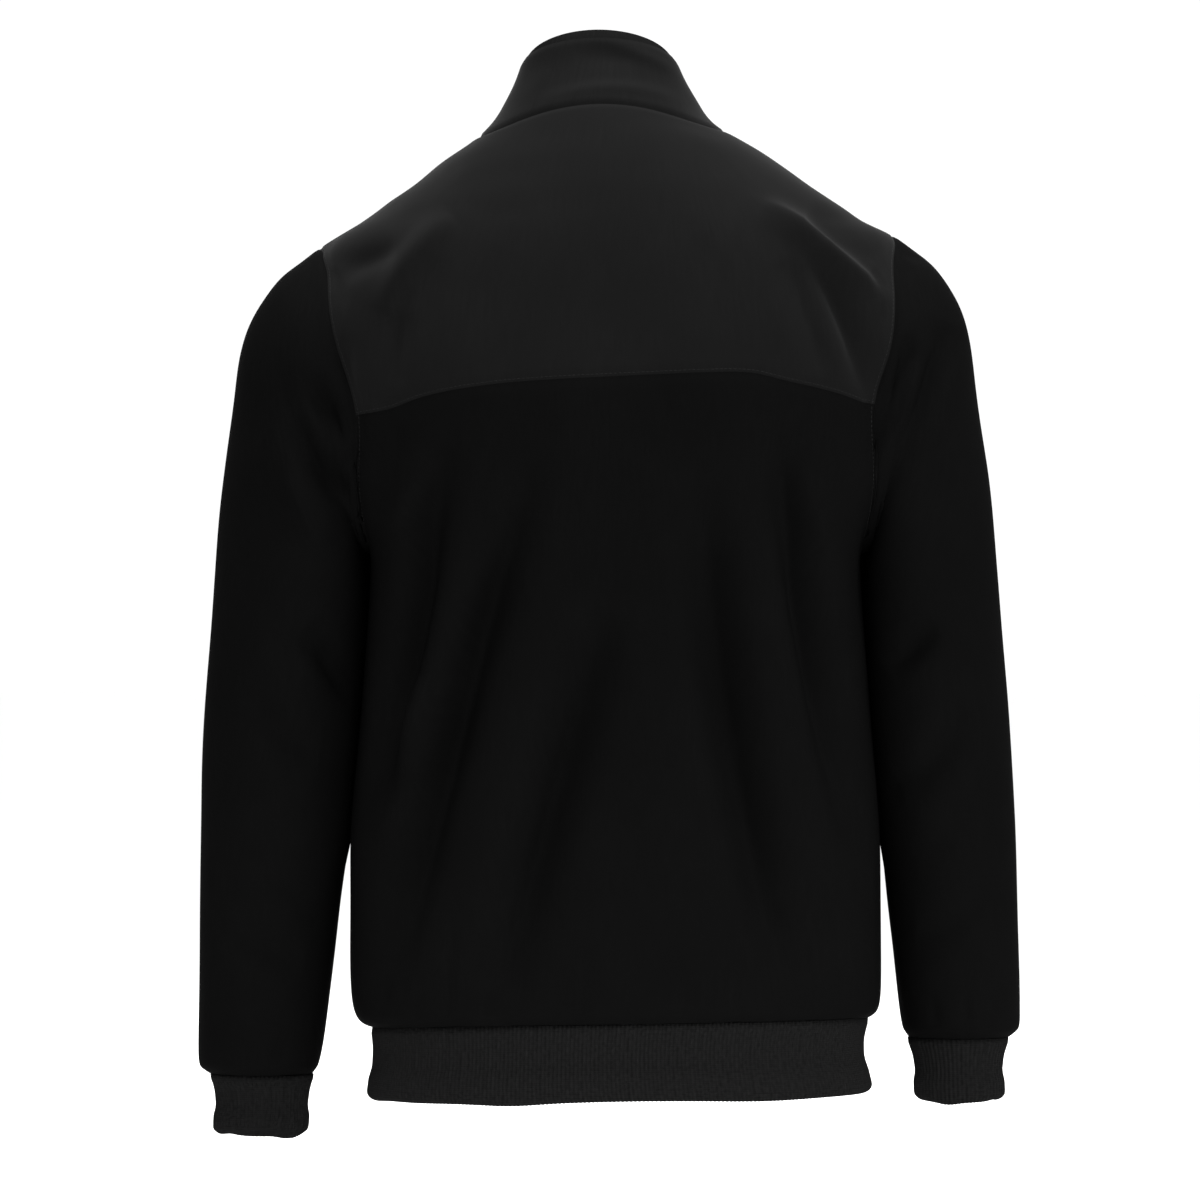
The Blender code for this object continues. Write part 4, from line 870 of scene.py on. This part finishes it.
# Its waves: the turn from the centre back, the width as a turn, and the dip in millimetres
LOWER_WAVES = {
    "hem_band": (
        (0.62, 0.20, 1.8),
        (-0.10, 0.35, -0.8),
        (-0.80, 0.25, 1.2),
        (1.25, 0.15, -1.0),
        (2.3, 0.3, 1.2),
        (-2.2, 0.3, 1.4),
    ),
    "cuff_left": ((-0.9, 0.35, 2.2), (0.9, 0.35, -1.2), (2.6, 0.4, 1.2), (-2.4, 0.4, -0.8)),
    "cuff_right": ((0.4, 0.4, 1.6), (-1.1, 0.35, -1.0), (2.3, 0.4, 1.2), (-2.7, 0.4, -0.8)),
}


def band_rows(name):
    """A ribbed node's outer side as three rows of points from the top, each turning left from
    the centre front. Its columns are closer together than its wall is thick. The first column
    is one of the low ones."""
    shape = node_shape(name)
    points = np.array([
        vert.co for vert in shape.verts
        if min(edge.calc_length() for edge in vert.link_edges) < CLOSEST_COLUMNS
    ])
    shape.free()
    points = points[np.argsort(-points[:, 2])]
    rows = []
    for row in np.split(points, np.flatnonzero(-np.diff(points[:, 2]) > ROW_GAP) + 1):
        x, y = (row - (row.min(0) + row.max(0)) / 2)[:, :2].T
        rows.append(row[np.argsort(np.arctan2(x, y))])
    rows = np.array(rows)
    middle = rows[1] - (rows[1].min(0) + rows[1].max(0)) / 2
    reach = np.linalg.norm(middle[:, :2], axis=1)
    return np.roll(rows, -1, axis=1) if reach[2] > (reach[1] + reach[3]) / 2 else rows


def level_outward(points, closed):
    if closed:
        run = np.roll(points, -1, axis=1) - np.roll(points, 1, axis=1)
    else:
        run = np.gradient(points, axis=1)
    return unit(np.stack([-run[..., 1], run[..., 0], np.zeros(run.shape[:2])], axis=-1))


def rows_between(rows, heights):
    """Rows at shares of the height, on a smooth curve through the three rows."""
    top, middle, bottom = rows
    at = np.linalg.norm(middle - top, axis=-1).mean()
    at = at / (at + np.linalg.norm(bottom - middle, axis=-1).mean())
    s = heights[:, None, None]
    upper = top * (s - at) * (s - 1) / at + middle * s * (s - 1) / (at * (at - 1))
    return upper + bottom * s * (s - at) / (1 - at)


def come_round(rows, closed):
    return np.concatenate([rows, rows[:, :1]], axis=1) if closed else rows


def finer_columns(rows, closed):
    """RIB_STEPS columns for each one, and where each lies among the old ones."""
    rows = come_round(rows, closed)
    at = np.arange((rows.shape[1] - 1) * RIB_STEPS + (0 if closed else 1)) / RIB_STEPS
    left = np.minimum(at.astype(int), rows.shape[1] - 2)
    part = (at - left)[:, None]
    return rows[:, left] * (1 - part) + rows[:, left + 1] * part, at


def bent_profile(profile, shares):
    """A profile's offsets on a smooth line through its points, as a column."""
    at = np.searchsorted(PROFILE_AT, shares, side="right").clip(1, len(PROFILE_AT) - 1)
    part = smooth_step((shares - PROFILE_AT[at - 1]) / (PROFILE_AT[at] - PROFILE_AT[at - 1]))
    return (profile[at - 1] * (1 - part) + profile[at] * part)[:, None]


def band_curve(name, closed):
    """Rows of points down the middle of a band's cloth, the ways out of it there, and how far
    the rib stands out at each column."""
    rows = band_rows(name)
    raised = (np.arange(rows.shape[1]) % 2)[None, :, None]
    middle = rows - level_outward(rows, closed) * (RIB_CLOTH / 2 + RIB_RAISE * raised)
    middle, at = finer_columns(middle, closed)
    rib = ((1 - np.cos(math.pi * at)) / 2) ** RIB_ROUNDNESS * RIB_RAISE
    shares = 1 - np.linspace(1, 0, BAND_ROWS) ** ROWS_CLOSER_BELOW
    curve = rows_between(middle, shares)
    ways = unit(rows_between(level_outward(middle, closed), shares))
    centre = (curve[-1].min(0) + curve[-1].max(0)) / 2
    turn = np.arctan2(*(curve[-1] - centre)[:, :2].T)
    dip = np.zeros(len(turn))
    for wave_turn, width, wave_dip in LOWER_WAVES[name]:
        apart = (turn - wave_turn + math.pi) % FULL_TURN - math.pi
        dip += wave_dip * MM * np.exp(-((apart / width) ** 2))
    curve[..., 2] -= shares[:, None] ** 2 * dip
    height = (curve[0, :, 2] - curve[-1, :, 2]).mean()
    rounding = np.clip(1 - (1 - shares) * height / LOWER_ROUND[name], 0, 1)
    drawn_in = (LOWER_DRAWN_IN[name] * (1 - np.sqrt(1 - ROUNDEST * rounding**2)))[:, None]
    back = bent_profile(BACK_PROFILE, shares) * np.where(np.cos(turn) > 0, 1, FRONT_BEND)
    back = back - BACK_DRAWN_IN * drawn_in
    at_side = np.sin(turn) ** 2
    bend = back * (1 - at_side) + (bent_profile(SIDE_PROFILE, shares) - drawn_in) * at_side
    return curve + ways * bend[..., None], ways, rib


def rib_band(name, closed):
    """A doubled ribbed band: ribs outside, a rounded fold at the lower edge, a plainer inside."""
    curve, ways, rib = band_curve(name, closed)
    outer, inner = RIB_CLOTH / 2 + rib, RIB_CLOTH / 2 + INNER_RIB_SHARE * rib
    down = unit(curve[-1] - curve[-2])
    layers = list(curve + ways * outer[:, None])
    for angle in np.linspace(0, math.pi, ROLL_ROWS + 2)[1:-1]:
        size = outer * (1 + math.cos(angle)) / 2 + inner * (1 - math.cos(angle)) / 2
        layers.append(curve[-1] + (ways[-1] * math.cos(angle) + down * math.sin(angle)) * size[:, None])
    layers += list((curve - ways * inner[:, None])[::-2])
    layers = np.array(layers)
    count, columns = layers.shape[:2]
    numbers = np.arange(count * columns).reshape(count, columns)
    grid = come_round(numbers, closed)
    grid = np.concatenate([grid, grid[:1]])
    corners = (grid[:-1, :-1], grid[:-1, 1:], grid[1:, 1:], grid[1:, :-1])
    faces = np.stack([corner.ravel() for corner in corners], 1).tolist()
    if not closed:
        faces += [numbers[:, 0].tolist(), numbers[::-1, -1].tolist()]
    piece = new_mesh_object(name + "_rib", layers.reshape(-1, 3), faces)
    turned_outwards(piece)
    girth = distances(curve[BAND_ROWS // 2])
    write_grain(piece, np.tile(girth, count), mesh_points(piece.data)[:, 2])
    piece.data.shade_smooth()
    return piece


# ---- Small pieces along a line ----


def dress_small(piece, material):
    piece.data.materials.append(material)
    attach(piece, "jacket")


def copies_in_line(name, shape, faces, stands):
    """One piece of many copies of a shape. Each stand is a copy's place and its three axes."""
    points = [np.array(place) + shape @ np.array(axes) for place, axes in stands]
    starts = range(0, len(stands) * len(shape), len(shape))
    faces = [[corner + start for corner in face] for start in starts for face in faces]
    piece = new_mesh_object(name, np.concatenate(points), faces)
    turned_outwards(piece)
    return piece


# Each tape's facing edge is this far from the middle of its row, and a row is this high
TAPE_EDGE_REACH, TAPE_ROW_REACH = 4.5 * MM, 3 * MM


def tape_centre():
    """The tapes' facing edges as one line from the top, and the ways out of the cloth."""
    edges = []
    for name, side in (("zip_tape_left", LEFT), ("zip_tape_right", RIGHT)):
        shape = outer_sheet(name)
        shape.normal_update()
        edge = np.array([(*vert.co, *vert.normal) for vert in shape.verts])
        shape.free()
        level = np.abs(edge[:, None, 2] - edge[None, :, 2]) < TAPE_ROW_REACH
        middle = level @ edge[:, 0] / level.sum(1)
        edge = edge[(middle - edge[:, 0]) * side > TAPE_EDGE_REACH]
        edges.append(edge[np.argsort(-edge[:, 2])])
    left, right = edges
    right = np.array([point_at(right, -right[:, 2], -height) for height in left[:, 2]])
    places, ways = (left[:, :3] + right[:, :3]) / 2, left[:, 3:] + right[:, 3:]
    places[:, 2] = left[:, 2]
    ways[:, 0] = 0
    return places, unit(ways)


# ---- Sewing ----

STITCH_LENGTH, STITCH_PITCH, STITCH_THICK, STITCH_SUNK = 2.6 * MM, 3.2 * MM, 0.42 * MM, 0.05 * MM
STITCH_SIDES = 5
# A stitch's rings: places along it, and sizes and lifts as shares of its length and radius
STITCH_RINGS = ((-0.5, 0.35, -0.5), (-0.3, 0.9, 0.1), (0, 1, 0.3), (0.3, 0.9, 0.1), (0.5, 0.35, -0.5))
# Rows of stitches: the cloth that they are on, the pieces beyond the seam (none at the zip), and
# how far from the seam in millimetres
STITCH_ROWS = (
    ("stitches_yoke", ("back_yoke",), ("back_body",), 1.9),
    ("stitches_armhole_left", ("back_yoke", "back_body", "front_left"), ("sleeve_left",), 2.0),
    ("stitches_armhole_right", ("back_yoke", "back_body", "front_right"), ("sleeve_right",), 2.0),
    ("stitches_zip_left", ("front_left", "collar"), (), 3.4),
    ("stitches_zip_right", ("front_right", "collar"), (), 3.4),
)
# The fronts' edges lie this close to the zip's line, and run down at least this steeply
ZIP_EDGE_REACH, ZIP_EDGE_STEEP = 7.5 * MM, 0.3


def seam_run(mesh, on, beyond, zip_side, zip_line):
    """The seam's points in order, each a row that ends with the way into the sewn cloth."""
    shape = bmesh_of(mesh)
    on, beyond = ({PANELS.index(name) for name in names} for names in (on, beyond))
    beside, into, places = {}, {}, {}
    for edge in shape.edges:
        panels = panels_at(edge)
        one, two = edge.verts
        run = (two.co - one.co).normalized()
        if beyond:
            belongs = len(edge.link_faces) == 2 and panels & on and panels & beyond
        else:
            middle = (one.co + two.co) / 2
            from_zip = middle.x - np.interp(-middle.z, -zip_line[:, 2], zip_line[:, 0])
            near_zip = 0 < from_zip * zip_side < ZIP_EDGE_REACH and middle.y < 0
            belongs = edge.is_boundary and panels & on and near_zip and abs(run.z) > ZIP_EDGE_STEEP
        if not belongs:
            continue
        face = next(face for face in edge.link_faces if face.material_index in on)
        way = face.normal.cross(run)
        if way.dot(face.calc_center_median() - one.co) < 0:
            way = -way
        for vert, other in ((one, two), (two, one)):
            beside.setdefault(vert.index, []).append(other.index)
            into[vert.index] = into.get(vert.index, Vector()) + way
            places[vert.index] = vert.co.copy()
    shape.free()
    ends = [number for number, others in beside.items() if len(others) == 1]
    run = [min(ends or beside, key=lambda number: places[number].z)]
    while onward := [number for number in beside[run[-1]] if number not in run]:
        run.append(onward[0])
    if not ends:
        run.append(run[0])
    return np.array([(*places[number], *into[number].normalized()) for number in run])


def stitch_shape():
    """One stitch's points along X, lying on Z = 0, and its faces: a thread that dips in at
    both ends."""
    angle = FULL_TURN * np.arange(STITCH_SIDES) / STITCH_SIDES
    radius = STITCH_THICK / 2
    points = []
    for along, size, lift in STITCH_RINGS:
        across, up = np.cos(angle) * radius * size, np.sin(angle) * radius * size + lift * radius
        points += zip([along * STITCH_LENGTH] * STITCH_SIDES, across, up)
    rings = np.arange(len(points)).reshape(-1, STITCH_SIDES)
    ahead = np.roll(rings, -1, axis=1)
    sides = np.stack([rings[:-1], ahead[:-1], ahead[1:], rings[1:]], axis=-1)
    faces = sides.reshape(-1, 4).tolist() + [rings[0, ::-1].tolist(), rings[-1].tolist()]
    return np.array(points), faces


def add_sewing(fine, panels, thread):
    """Rows of stitches that lie on the cloth beside its seams."""
    stitch = stitch_shape()
    zip_line = tape_centre()[0]
    for name, on, beyond, inset in STITCH_ROWS:
        side = RIGHT if name.endswith("right") else LEFT
        seam = seam_run(fine, on, beyond, side, zip_line)
        path = seam[:, :3] + seam[:, 3:] * inset * MM
        shapes = bmesh.new()
        for panel in on:
            shapes.from_mesh(panels[panel].data)
        cloth = BVHTree.FromBMesh(shapes)
        shapes.free()
        far = distances(path)
        count = int(far[-1] / STITCH_PITCH)
        stands = []
        for number in range(count):
            at = (number + 0.5) * far[-1] / count
            before, after = point_at(path, far, at - MM), point_at(path, far, at + MM)
            place, normal, _, _ = cloth.find_nearest(Vector((before + after) / 2))
            along = Vector(after - before)
            along = (along - normal * along.dot(normal)).normalized()
            stands.append((place - normal * STITCH_SUNK, (along, normal.cross(along), normal)))
        piece = copies_in_line(name, *stitch, stands)
        piece.data.shade_smooth()
        dress_small(piece, thread)


# ---- Zip teeth ----

TOOTH_PITCH, TOOTH_REACH, TOOTH_PAST_CENTRE = 2.5 * MM, 2.9 * MM, 0.45 * MM
TOOTH_ALONG, TOOTH_DEEP, TOOTH_ROUND = 1.15 * MM, 1.5 * MM, 0.22 * MM
# A tooth's width at its neck, and how much wider it is at its head
TOOTH_NECK, TOOTH_HEAD = 0.72, 0.40
TEETH_BELOW_SLIDER, TEETH_ABOVE_END = 1.0 * MM, 9 * MM
END_BOX_SIZE, END_BOX_ROUND, END_BOX_SUNK = (7.6 * MM, 9.0 * MM, 2.6 * MM), 0.7 * MM, 0.2 * MM


def rounded_block(size, rounding, segments=1):
    """A block with rounded edges, at the origin, made in edit mode."""
    bpy.ops.object.select_all(action="DESELECT")
    bpy.ops.mesh.primitive_cube_add(size=1)
    block = bpy.context.object
    bpy.ops.object.mode_set(mode="EDIT")
    bpy.ops.mesh.select_all(action="SELECT")
    bpy.ops.transform.resize(value=size)
    bpy.ops.mesh.bevel(offset=rounding, segments=segments, affect="EDGES")
    bpy.ops.object.mode_set(mode="OBJECT")
    return block


def tooth_shape():
    """A moulded tooth on the left tape, its head past the centre line and wider than its neck."""
    length = TOOTH_REACH + TOOTH_PAST_CENTRE
    tooth = rounded_block((length, TOOTH_ALONG, TOOTH_DEEP), TOOTH_ROUND)
    points = mesh_points(tooth.data)
    faces = [list(face.vertices) for face in tooth.data.polygons]
    bpy.data.objects.remove(tooth)
    points[:, 1] *= TOOTH_NECK + TOOTH_HEAD * (0.5 - points[:, 0] / length)
    return points + (length / 2 - TOOTH_PAST_CENTRE, 0, TOOTH_DEEP / 2), faces


def add_zip_teeth(material):
    places, ways = tape_centre()
    far = distances(places)
    start = np.interp(TEETH_BELOW_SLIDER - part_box("zip_slider")[0][2], -places[:, 2], far)
    count = int((far[-1] - TEETH_ABOVE_END - start) / TOOTH_PITCH)
    tooth = tooth_shape()
    for side, name, shift in ((LEFT, "zip_teeth_left", 0), (RIGHT, "zip_teeth_right", 0.5)):
        stands = []
        for number in range(count):
            at = start + (number + shift) * TOOTH_PITCH
            place, out = point_at(places, far, at), unit(point_at(ways, far, at))
            along = unit(place - point_at(places, far, at + MM))
            out = unit(out - along * (out @ along))
            across = np.cross(along, out)
            stands.append((place, (across * np.sign(across[0]) * side, along, out)))
        dress_small(copies_in_line(name, *tooth, stands), material)
    end_box = rounded_block(END_BOX_SIZE, END_BOX_ROUND, 2)
    end_box.name = "zip_end_box"
    up = unit(np.cross(ways[-1], (1, 0, 0)))
    axes = np.array([(1, 0, 0), up * np.sign(up[2]), ways[-1]])
    middle = places[-1] - ways[-1] * END_BOX_SUNK + (0, 0, END_BOX_SIZE[1] / 2)
    set_points(end_box.data, middle + mesh_points(end_box.data) @ axes)
    end_box.data.shade_smooth()
    dress_small(end_box, material)


# ---- Materials ----

# The output that each kind of node gives
OUTPUTS = {
    "UVMap": "UV",
    "TexCoord": "Object",
    "Mapping": "Vector",
    "TexNoise": "Fac",
    "TexWave": "Fac",
    "TexVoronoi": "Distance",
    "Math": "Value",
    "MapRange": "Result",
    "ValToRGB": "Color",
    "Bump": "Normal",
}
# Knitted cloths: how dark and light, a streak's width and length and the relief in millimetres,
# the shine and the sheen. Softshell is a brushed polyester knit laminated to fleece, matt and
# soft, with lighter and darker yarns straight down it, which hardly show where it is dyed black.
# The jersey on the collar's inside is flat and closely knitted.
KNIT_COLUMNS = ("dark", "light", "wale", "streak", "relief", "shine", "sheen")
KNITS = {
    "charcoal softshell, brushed knit": ("090909", "0B0B0B", 1.5, 24, 0.04, 0.01, 0.02),
    "black softshell, brushed knit": ("050505", "060606", 1.6, 24, 0.05, 0.004, 0.0),
    "black jersey, single knit": ("0A0A0A", "0F0F0F", 1.8, 12, 0.06, 0.006, 0.0),
}
CLOTH_ROUGHNESS = 0.88
# Knit stitches of 0.9 mm, rib courses of 0.8 mm and the tape's ridges of 0.6 mm would be lost
# between pixels, so they are drawn coarser. A rib is as wide as on the bands
STITCH_DRAWN, COURSE_DRAWN, RIDGE_DRAWN, RIB_WIDTH = 1.6, 1.5, 1.2, 2.9
# How much the stitches add to the streaks' relief, and the courses to the rib's fuzz
STITCH_RELIEF, COURSE_RELIEF = -0.6, 0.35
# A wave texture repeats this often in a unit at a scale of 1
WAVE_SCALE = 0.314


def linear(colour):
    """An sRGB hex colour as a linear one."""
    values = [int(colour[start : start + 2], 16) / 255 for start in (0, 2, 4)]
    return [v / 12.92 if v <= 0.04045 else ((v + 0.055) / 1.055) ** 2.4 for v in values] + [1]


def new_material(name, **inputs):
    """A material and its shader. Underlines in the inputs' names stand for spaces."""
    material = bpy.data.materials.new(name)
    material.use_nodes = True
    shader = material.node_tree.nodes["Principled BSDF"]
    for socket, value in inputs.items():
        shader.inputs[socket.replace("_", " ")].default_value = value
    return material, shader


def add_node(material, kind, inputs=None, **settings):
    """Adds a node and returns its output. Each input is a value, or the output that feeds it."""
    node = material.node_tree.nodes.new("ShaderNode" + kind)
    for name, value in settings.items():
        setattr(node, name, value)
    for name, value in (inputs or {}).items():
        if isinstance(value, bpy.types.NodeSocket):
            material.node_tree.links.new(value, node.inputs[name])
        else:
            node.inputs[name].default_value = value
    return node.outputs[OUTPUTS[kind]]


def scaled(material, vector, across, along):
    """A map whose unit is a number of millimetres each way."""
    scale = (1000 / across, 1000 / along, 1)
    return add_node(material, "Mapping", {"Vector": vector, "Scale": scale})


def paint(material, shader, pattern, dark, light, ends=(0, 1)):
    """Colours a surface by a pattern, dark at the first of its ends and light at the second."""
    colour = add_node(material, "ValToRGB", {"Fac": pattern})
    for element, end, value in zip(colour.node.color_ramp.elements, ends, (dark, light)):
        element.position, element.color = end, linear(value)
    material.node_tree.links.new(colour, shader.inputs["Base Color"])


def emboss(material, shader, height, relief, strength=1.0):
    """Raises a surface by a height, with its relief in millimetres."""
    inputs = {"Height": height, "Strength": strength, "Distance": relief * MM}
    material.node_tree.links.new(add_node(material, "Bump", inputs), shader.inputs["Normal"])


def clouds(material, scale, detail):
    place = add_node(material, "TexCoord")
    return add_node(material, "TexNoise", {"Vector": place, "Scale": scale, "Detail": detail})


def knitted(name):
    """Knitted cloth whose wales run down it, streaked where the yarn is thicker."""
    knit = dict(zip(KNIT_COLUMNS, KNITS[name]))
    material, shader = new_material(
        name,
        Roughness=CLOTH_ROUGHNESS,
        Specular_IOR_Level=knit["shine"],
        Sheen_Weight=knit["sheen"],
        Sheen_Roughness=0.42,
    )
    grain = add_node(material, "UVMap", uv_map="grain")
    wales = scaled(material, grain, knit["wale"], knit["streak"])
    look = {"Vector": wales, "Scale": 1.0, "Detail": 3.0, "Roughness": 0.6}
    streaks = add_node(material, "TexNoise", look, noise_dimensions="2D")
    patches = clouds(material, 14.0, 2.0)
    mixed = add_node(material, "Math", {0: streaks, 1: patches}, operation="MULTIPLY")
    paint(material, shader, mixed, knit["dark"], knit["light"], (0.12, 0.42))
    drawn = scaled(material, grain, STITCH_DRAWN, STITCH_DRAWN)
    look = {"Vector": drawn, "Scale": 1.0, "Randomness": 0.75}
    stitches = add_node(material, "TexVoronoi", look, voronoi_dimensions="2D")
    inputs = {0: stitches, 1: STITCH_RELIEF, 2: streaks}
    raised = add_node(material, "Math", inputs, operation="MULTIPLY_ADD")
    emboss(material, shader, raised, knit["relief"])
    return material


def black_rib():
    """1x1 rib knit of cotton with elastane. Each rib is a column of stacked V stitches, matt
    and a little lighter than the softshell."""
    material, shader = new_material(
        "black rib knit",
        Roughness=CLOTH_ROUGHNESS,
        Specular_IOR_Level=0.004,
        Sheen_Weight=0.01,
        Sheen_Roughness=0.3,
    )
    courses = scaled(material, add_node(material, "UVMap", uv_map="grain"), RIB_WIDTH, COURSE_DRAWN)
    look = {
        "Vector": courses,
        "Scale": WAVE_SCALE,
        "Distortion": 0.8,
        "Detail": 2.0,
        "Detail Scale": 1.5,
    }
    wave = add_node(material, "TexWave", look, wave_type="BANDS", bands_direction="Y")
    look = {"Vector": courses, "Scale": 0.9, "Detail": 3.0}
    fuzz = add_node(material, "TexNoise", look, noise_dimensions="2D")
    inputs = {0: wave, 1: COURSE_RELIEF, 2: fuzz}
    mixed = add_node(material, "Math", inputs, operation="MULTIPLY_ADD")
    paint(material, shader, mixed, "080808", "111111", (0.35, 0.95))
    emboss(material, shader, mixed, 0.16)
    return material


def woven_tape():
    """Zip tape: a tight polyester twill about 1 mm thick, with fine slanting ridges."""
    material, shader = new_material("woven polyester tape", Roughness=0.8, Specular_IOR_Level=0.06)
    place = add_node(material, "TexCoord")
    turned = add_node(material, "Mapping", {"Vector": place, "Rotation": (0, math.radians(35), 0)})
    look = {"Vector": turned, "Scale": WAVE_SCALE * 1000 / RIDGE_DRAWN, "Distortion": 0.3}
    ridges = add_node(material, "TexWave", look, wave_type="BANDS", bands_direction="Z")
    paint(material, shader, ridges, "080809", "101011")
    emboss(material, shader, ridges, 0.15, 0.8)
    return material


def gunmetal():
    """Die-cast zinc, tumbled smooth and plated dark. Handling polishes it unevenly, which
    breaks up its reflections."""
    material, shader = new_material("gunmetal plated zinc", Metallic=1.0, Roughness=0.32)
    handled = clouds(material, 420.0, 4.0)
    paint(material, shader, handled, "3A3B3D", "57585B", (0.3, 0.7))
    rough = add_node(material, "MapRange", {"Value": handled, "To Min": 0.24, "To Max": 0.44})
    material.node_tree.links.new(rough, shader.inputs["Roughness"])
    emboss(material, shader, handled, 0.03, 0.3)
    return material


def moulded_teeth():
    """Injection-moulded acetal: smooth and slightly waxy, with a broad soft highlight."""
    material, shader = new_material("black moulded acetal", Roughness=0.38, IOR=1.48)
    marks = clouds(material, 900.0, 2.0)
    paint(material, shader, marks, "0F0F10", "171718")
    emboss(material, shader, marks, 0.02, 0.25)
    return material


def sewing_thread():
    """Spun polyester thread: its fine twist is lost at this size, and leaves a faint lustre."""
    material, shader = new_material("black spun thread", Roughness=0.7, Specular_IOR_Level=0.1)
    paint(material, shader, clouds(material, 1600.0, 1.0), "0A0A0A", "101010")
    return material


# ---- Studio ----

FLOOR_Z, FLOOR_SIZE = -0.80, 60
CAMERA_PLACE, CAMERA_LENS, SENSOR = (6.4 * MM, 5.0, -339.3 * MM), 210, 36
WORLD_COLOUR, WORLD_STRENGTH = (1, 1, 1, 1), 1.05
# Soft boxes: place, what they face, width, height and watts
SOFT_BOXES = (
    ("soft box above", (0.0, 0.1, 1.25), (0, 0, -0.2), 1.5, 0.7, 80),
    ("soft box behind", (-0.5, 1.6, 1.5), (0, 0, -0.4), 1.0, 0.8, 52),
    ("soft box left", (2.6, 1.8, 0.4), (0, 0, -0.4), 1.4, 2.4, 14),
    ("soft box right", (-2.8, 1.5, -0.1), (0, 0, -0.45), 0.8, 1.4, 62),
    ("soft box low", (0.0, 0.45, -0.785), (0, 0.1, -0.6), 1.0, 0.12, 2.5),
    ("soft box front", (0.0, -2.6, 1.2), (0, 0, -0.3), 2.4, 1.8, 50),
)


def add_studio():
    scene = bpy.context.scene
    bpy.ops.object.select_all(action="DESELECT")
    bpy.ops.mesh.primitive_plane_add(size=FLOOR_SIZE, location=(0, 0, FLOOR_Z))
    floor = bpy.context.object
    floor.name = "pale_floor"
    look = {"Roughness": 0.9, "Specular_IOR_Level": 0.1, "Base_Color": linear("FAFAFA")}
    floor.data.materials.append(new_material("pale studio floor, matt paint", **look)[0])
    scene.world = bpy.data.worlds.new("soft white studio")
    scene.world.use_nodes = True
    background = scene.world.node_tree.nodes["Background"].inputs
    background["Color"].default_value = WORLD_COLOUR
    background["Strength"].default_value = WORLD_STRENGTH
    for name, place, target, width, height, watts in SOFT_BOXES:
        lamp = bpy.data.lights.new(name, "AREA")
        lamp.shape, lamp.size, lamp.size_y, lamp.energy = "RECTANGLE", width, height, watts
        box = bpy.data.objects.new(name, lamp)
        box.location = place
        box.rotation_euler = (Vector(target) - Vector(place)).to_track_quat("-Z", "Y").to_euler()
        scene.collection.objects.link(box)
    lens = bpy.data.cameras.new("camera")
    lens.lens, lens.sensor_width = CAMERA_LENS, SENSOR
    scene.camera = bpy.data.objects.new("camera", lens)
    scene.camera.location = CAMERA_PLACE
    scene.camera.rotation_euler = (math.pi / 2, 0, math.pi)
    scene.collection.objects.link(scene.camera)
    scene.view_settings.view_transform = "Standard"
    scene.view_settings.look = "None"


# ---- The whole jacket ----


def add_jacket():
    charcoal, black, jersey = (knitted(name) for name in KNITS)
    rib = black_rib()
    fine = creased_shell()
    panels = cut_panels(fine)
    add_sewing(fine, panels, sewing_thread())
    for name, piece in panels.items():
        if name in CHARCOAL_PANELS:
            finish_cloth(piece, name, charcoal)
        else:
            finish_cloth(piece, name, black)
    finish_cloth(collar_facing(), "collar_facing", jersey)
    for name, closed in (("hem_band", False), ("cuff_left", True), ("cuff_right", True)):
        finish_cloth(rib_band(name, closed), name, rib)
    tape, metal = woven_tape(), gunmetal()
    hard = {"zip_tape_left": tape, "zip_tape_right": tape, "zip_slider": metal, "zip_pull": metal}
    for name, material in hard.items():
        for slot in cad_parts[name].material_slots:
            slot.material = material
    add_zip_teeth(moulded_teeth())


add_jacket()
add_studio()
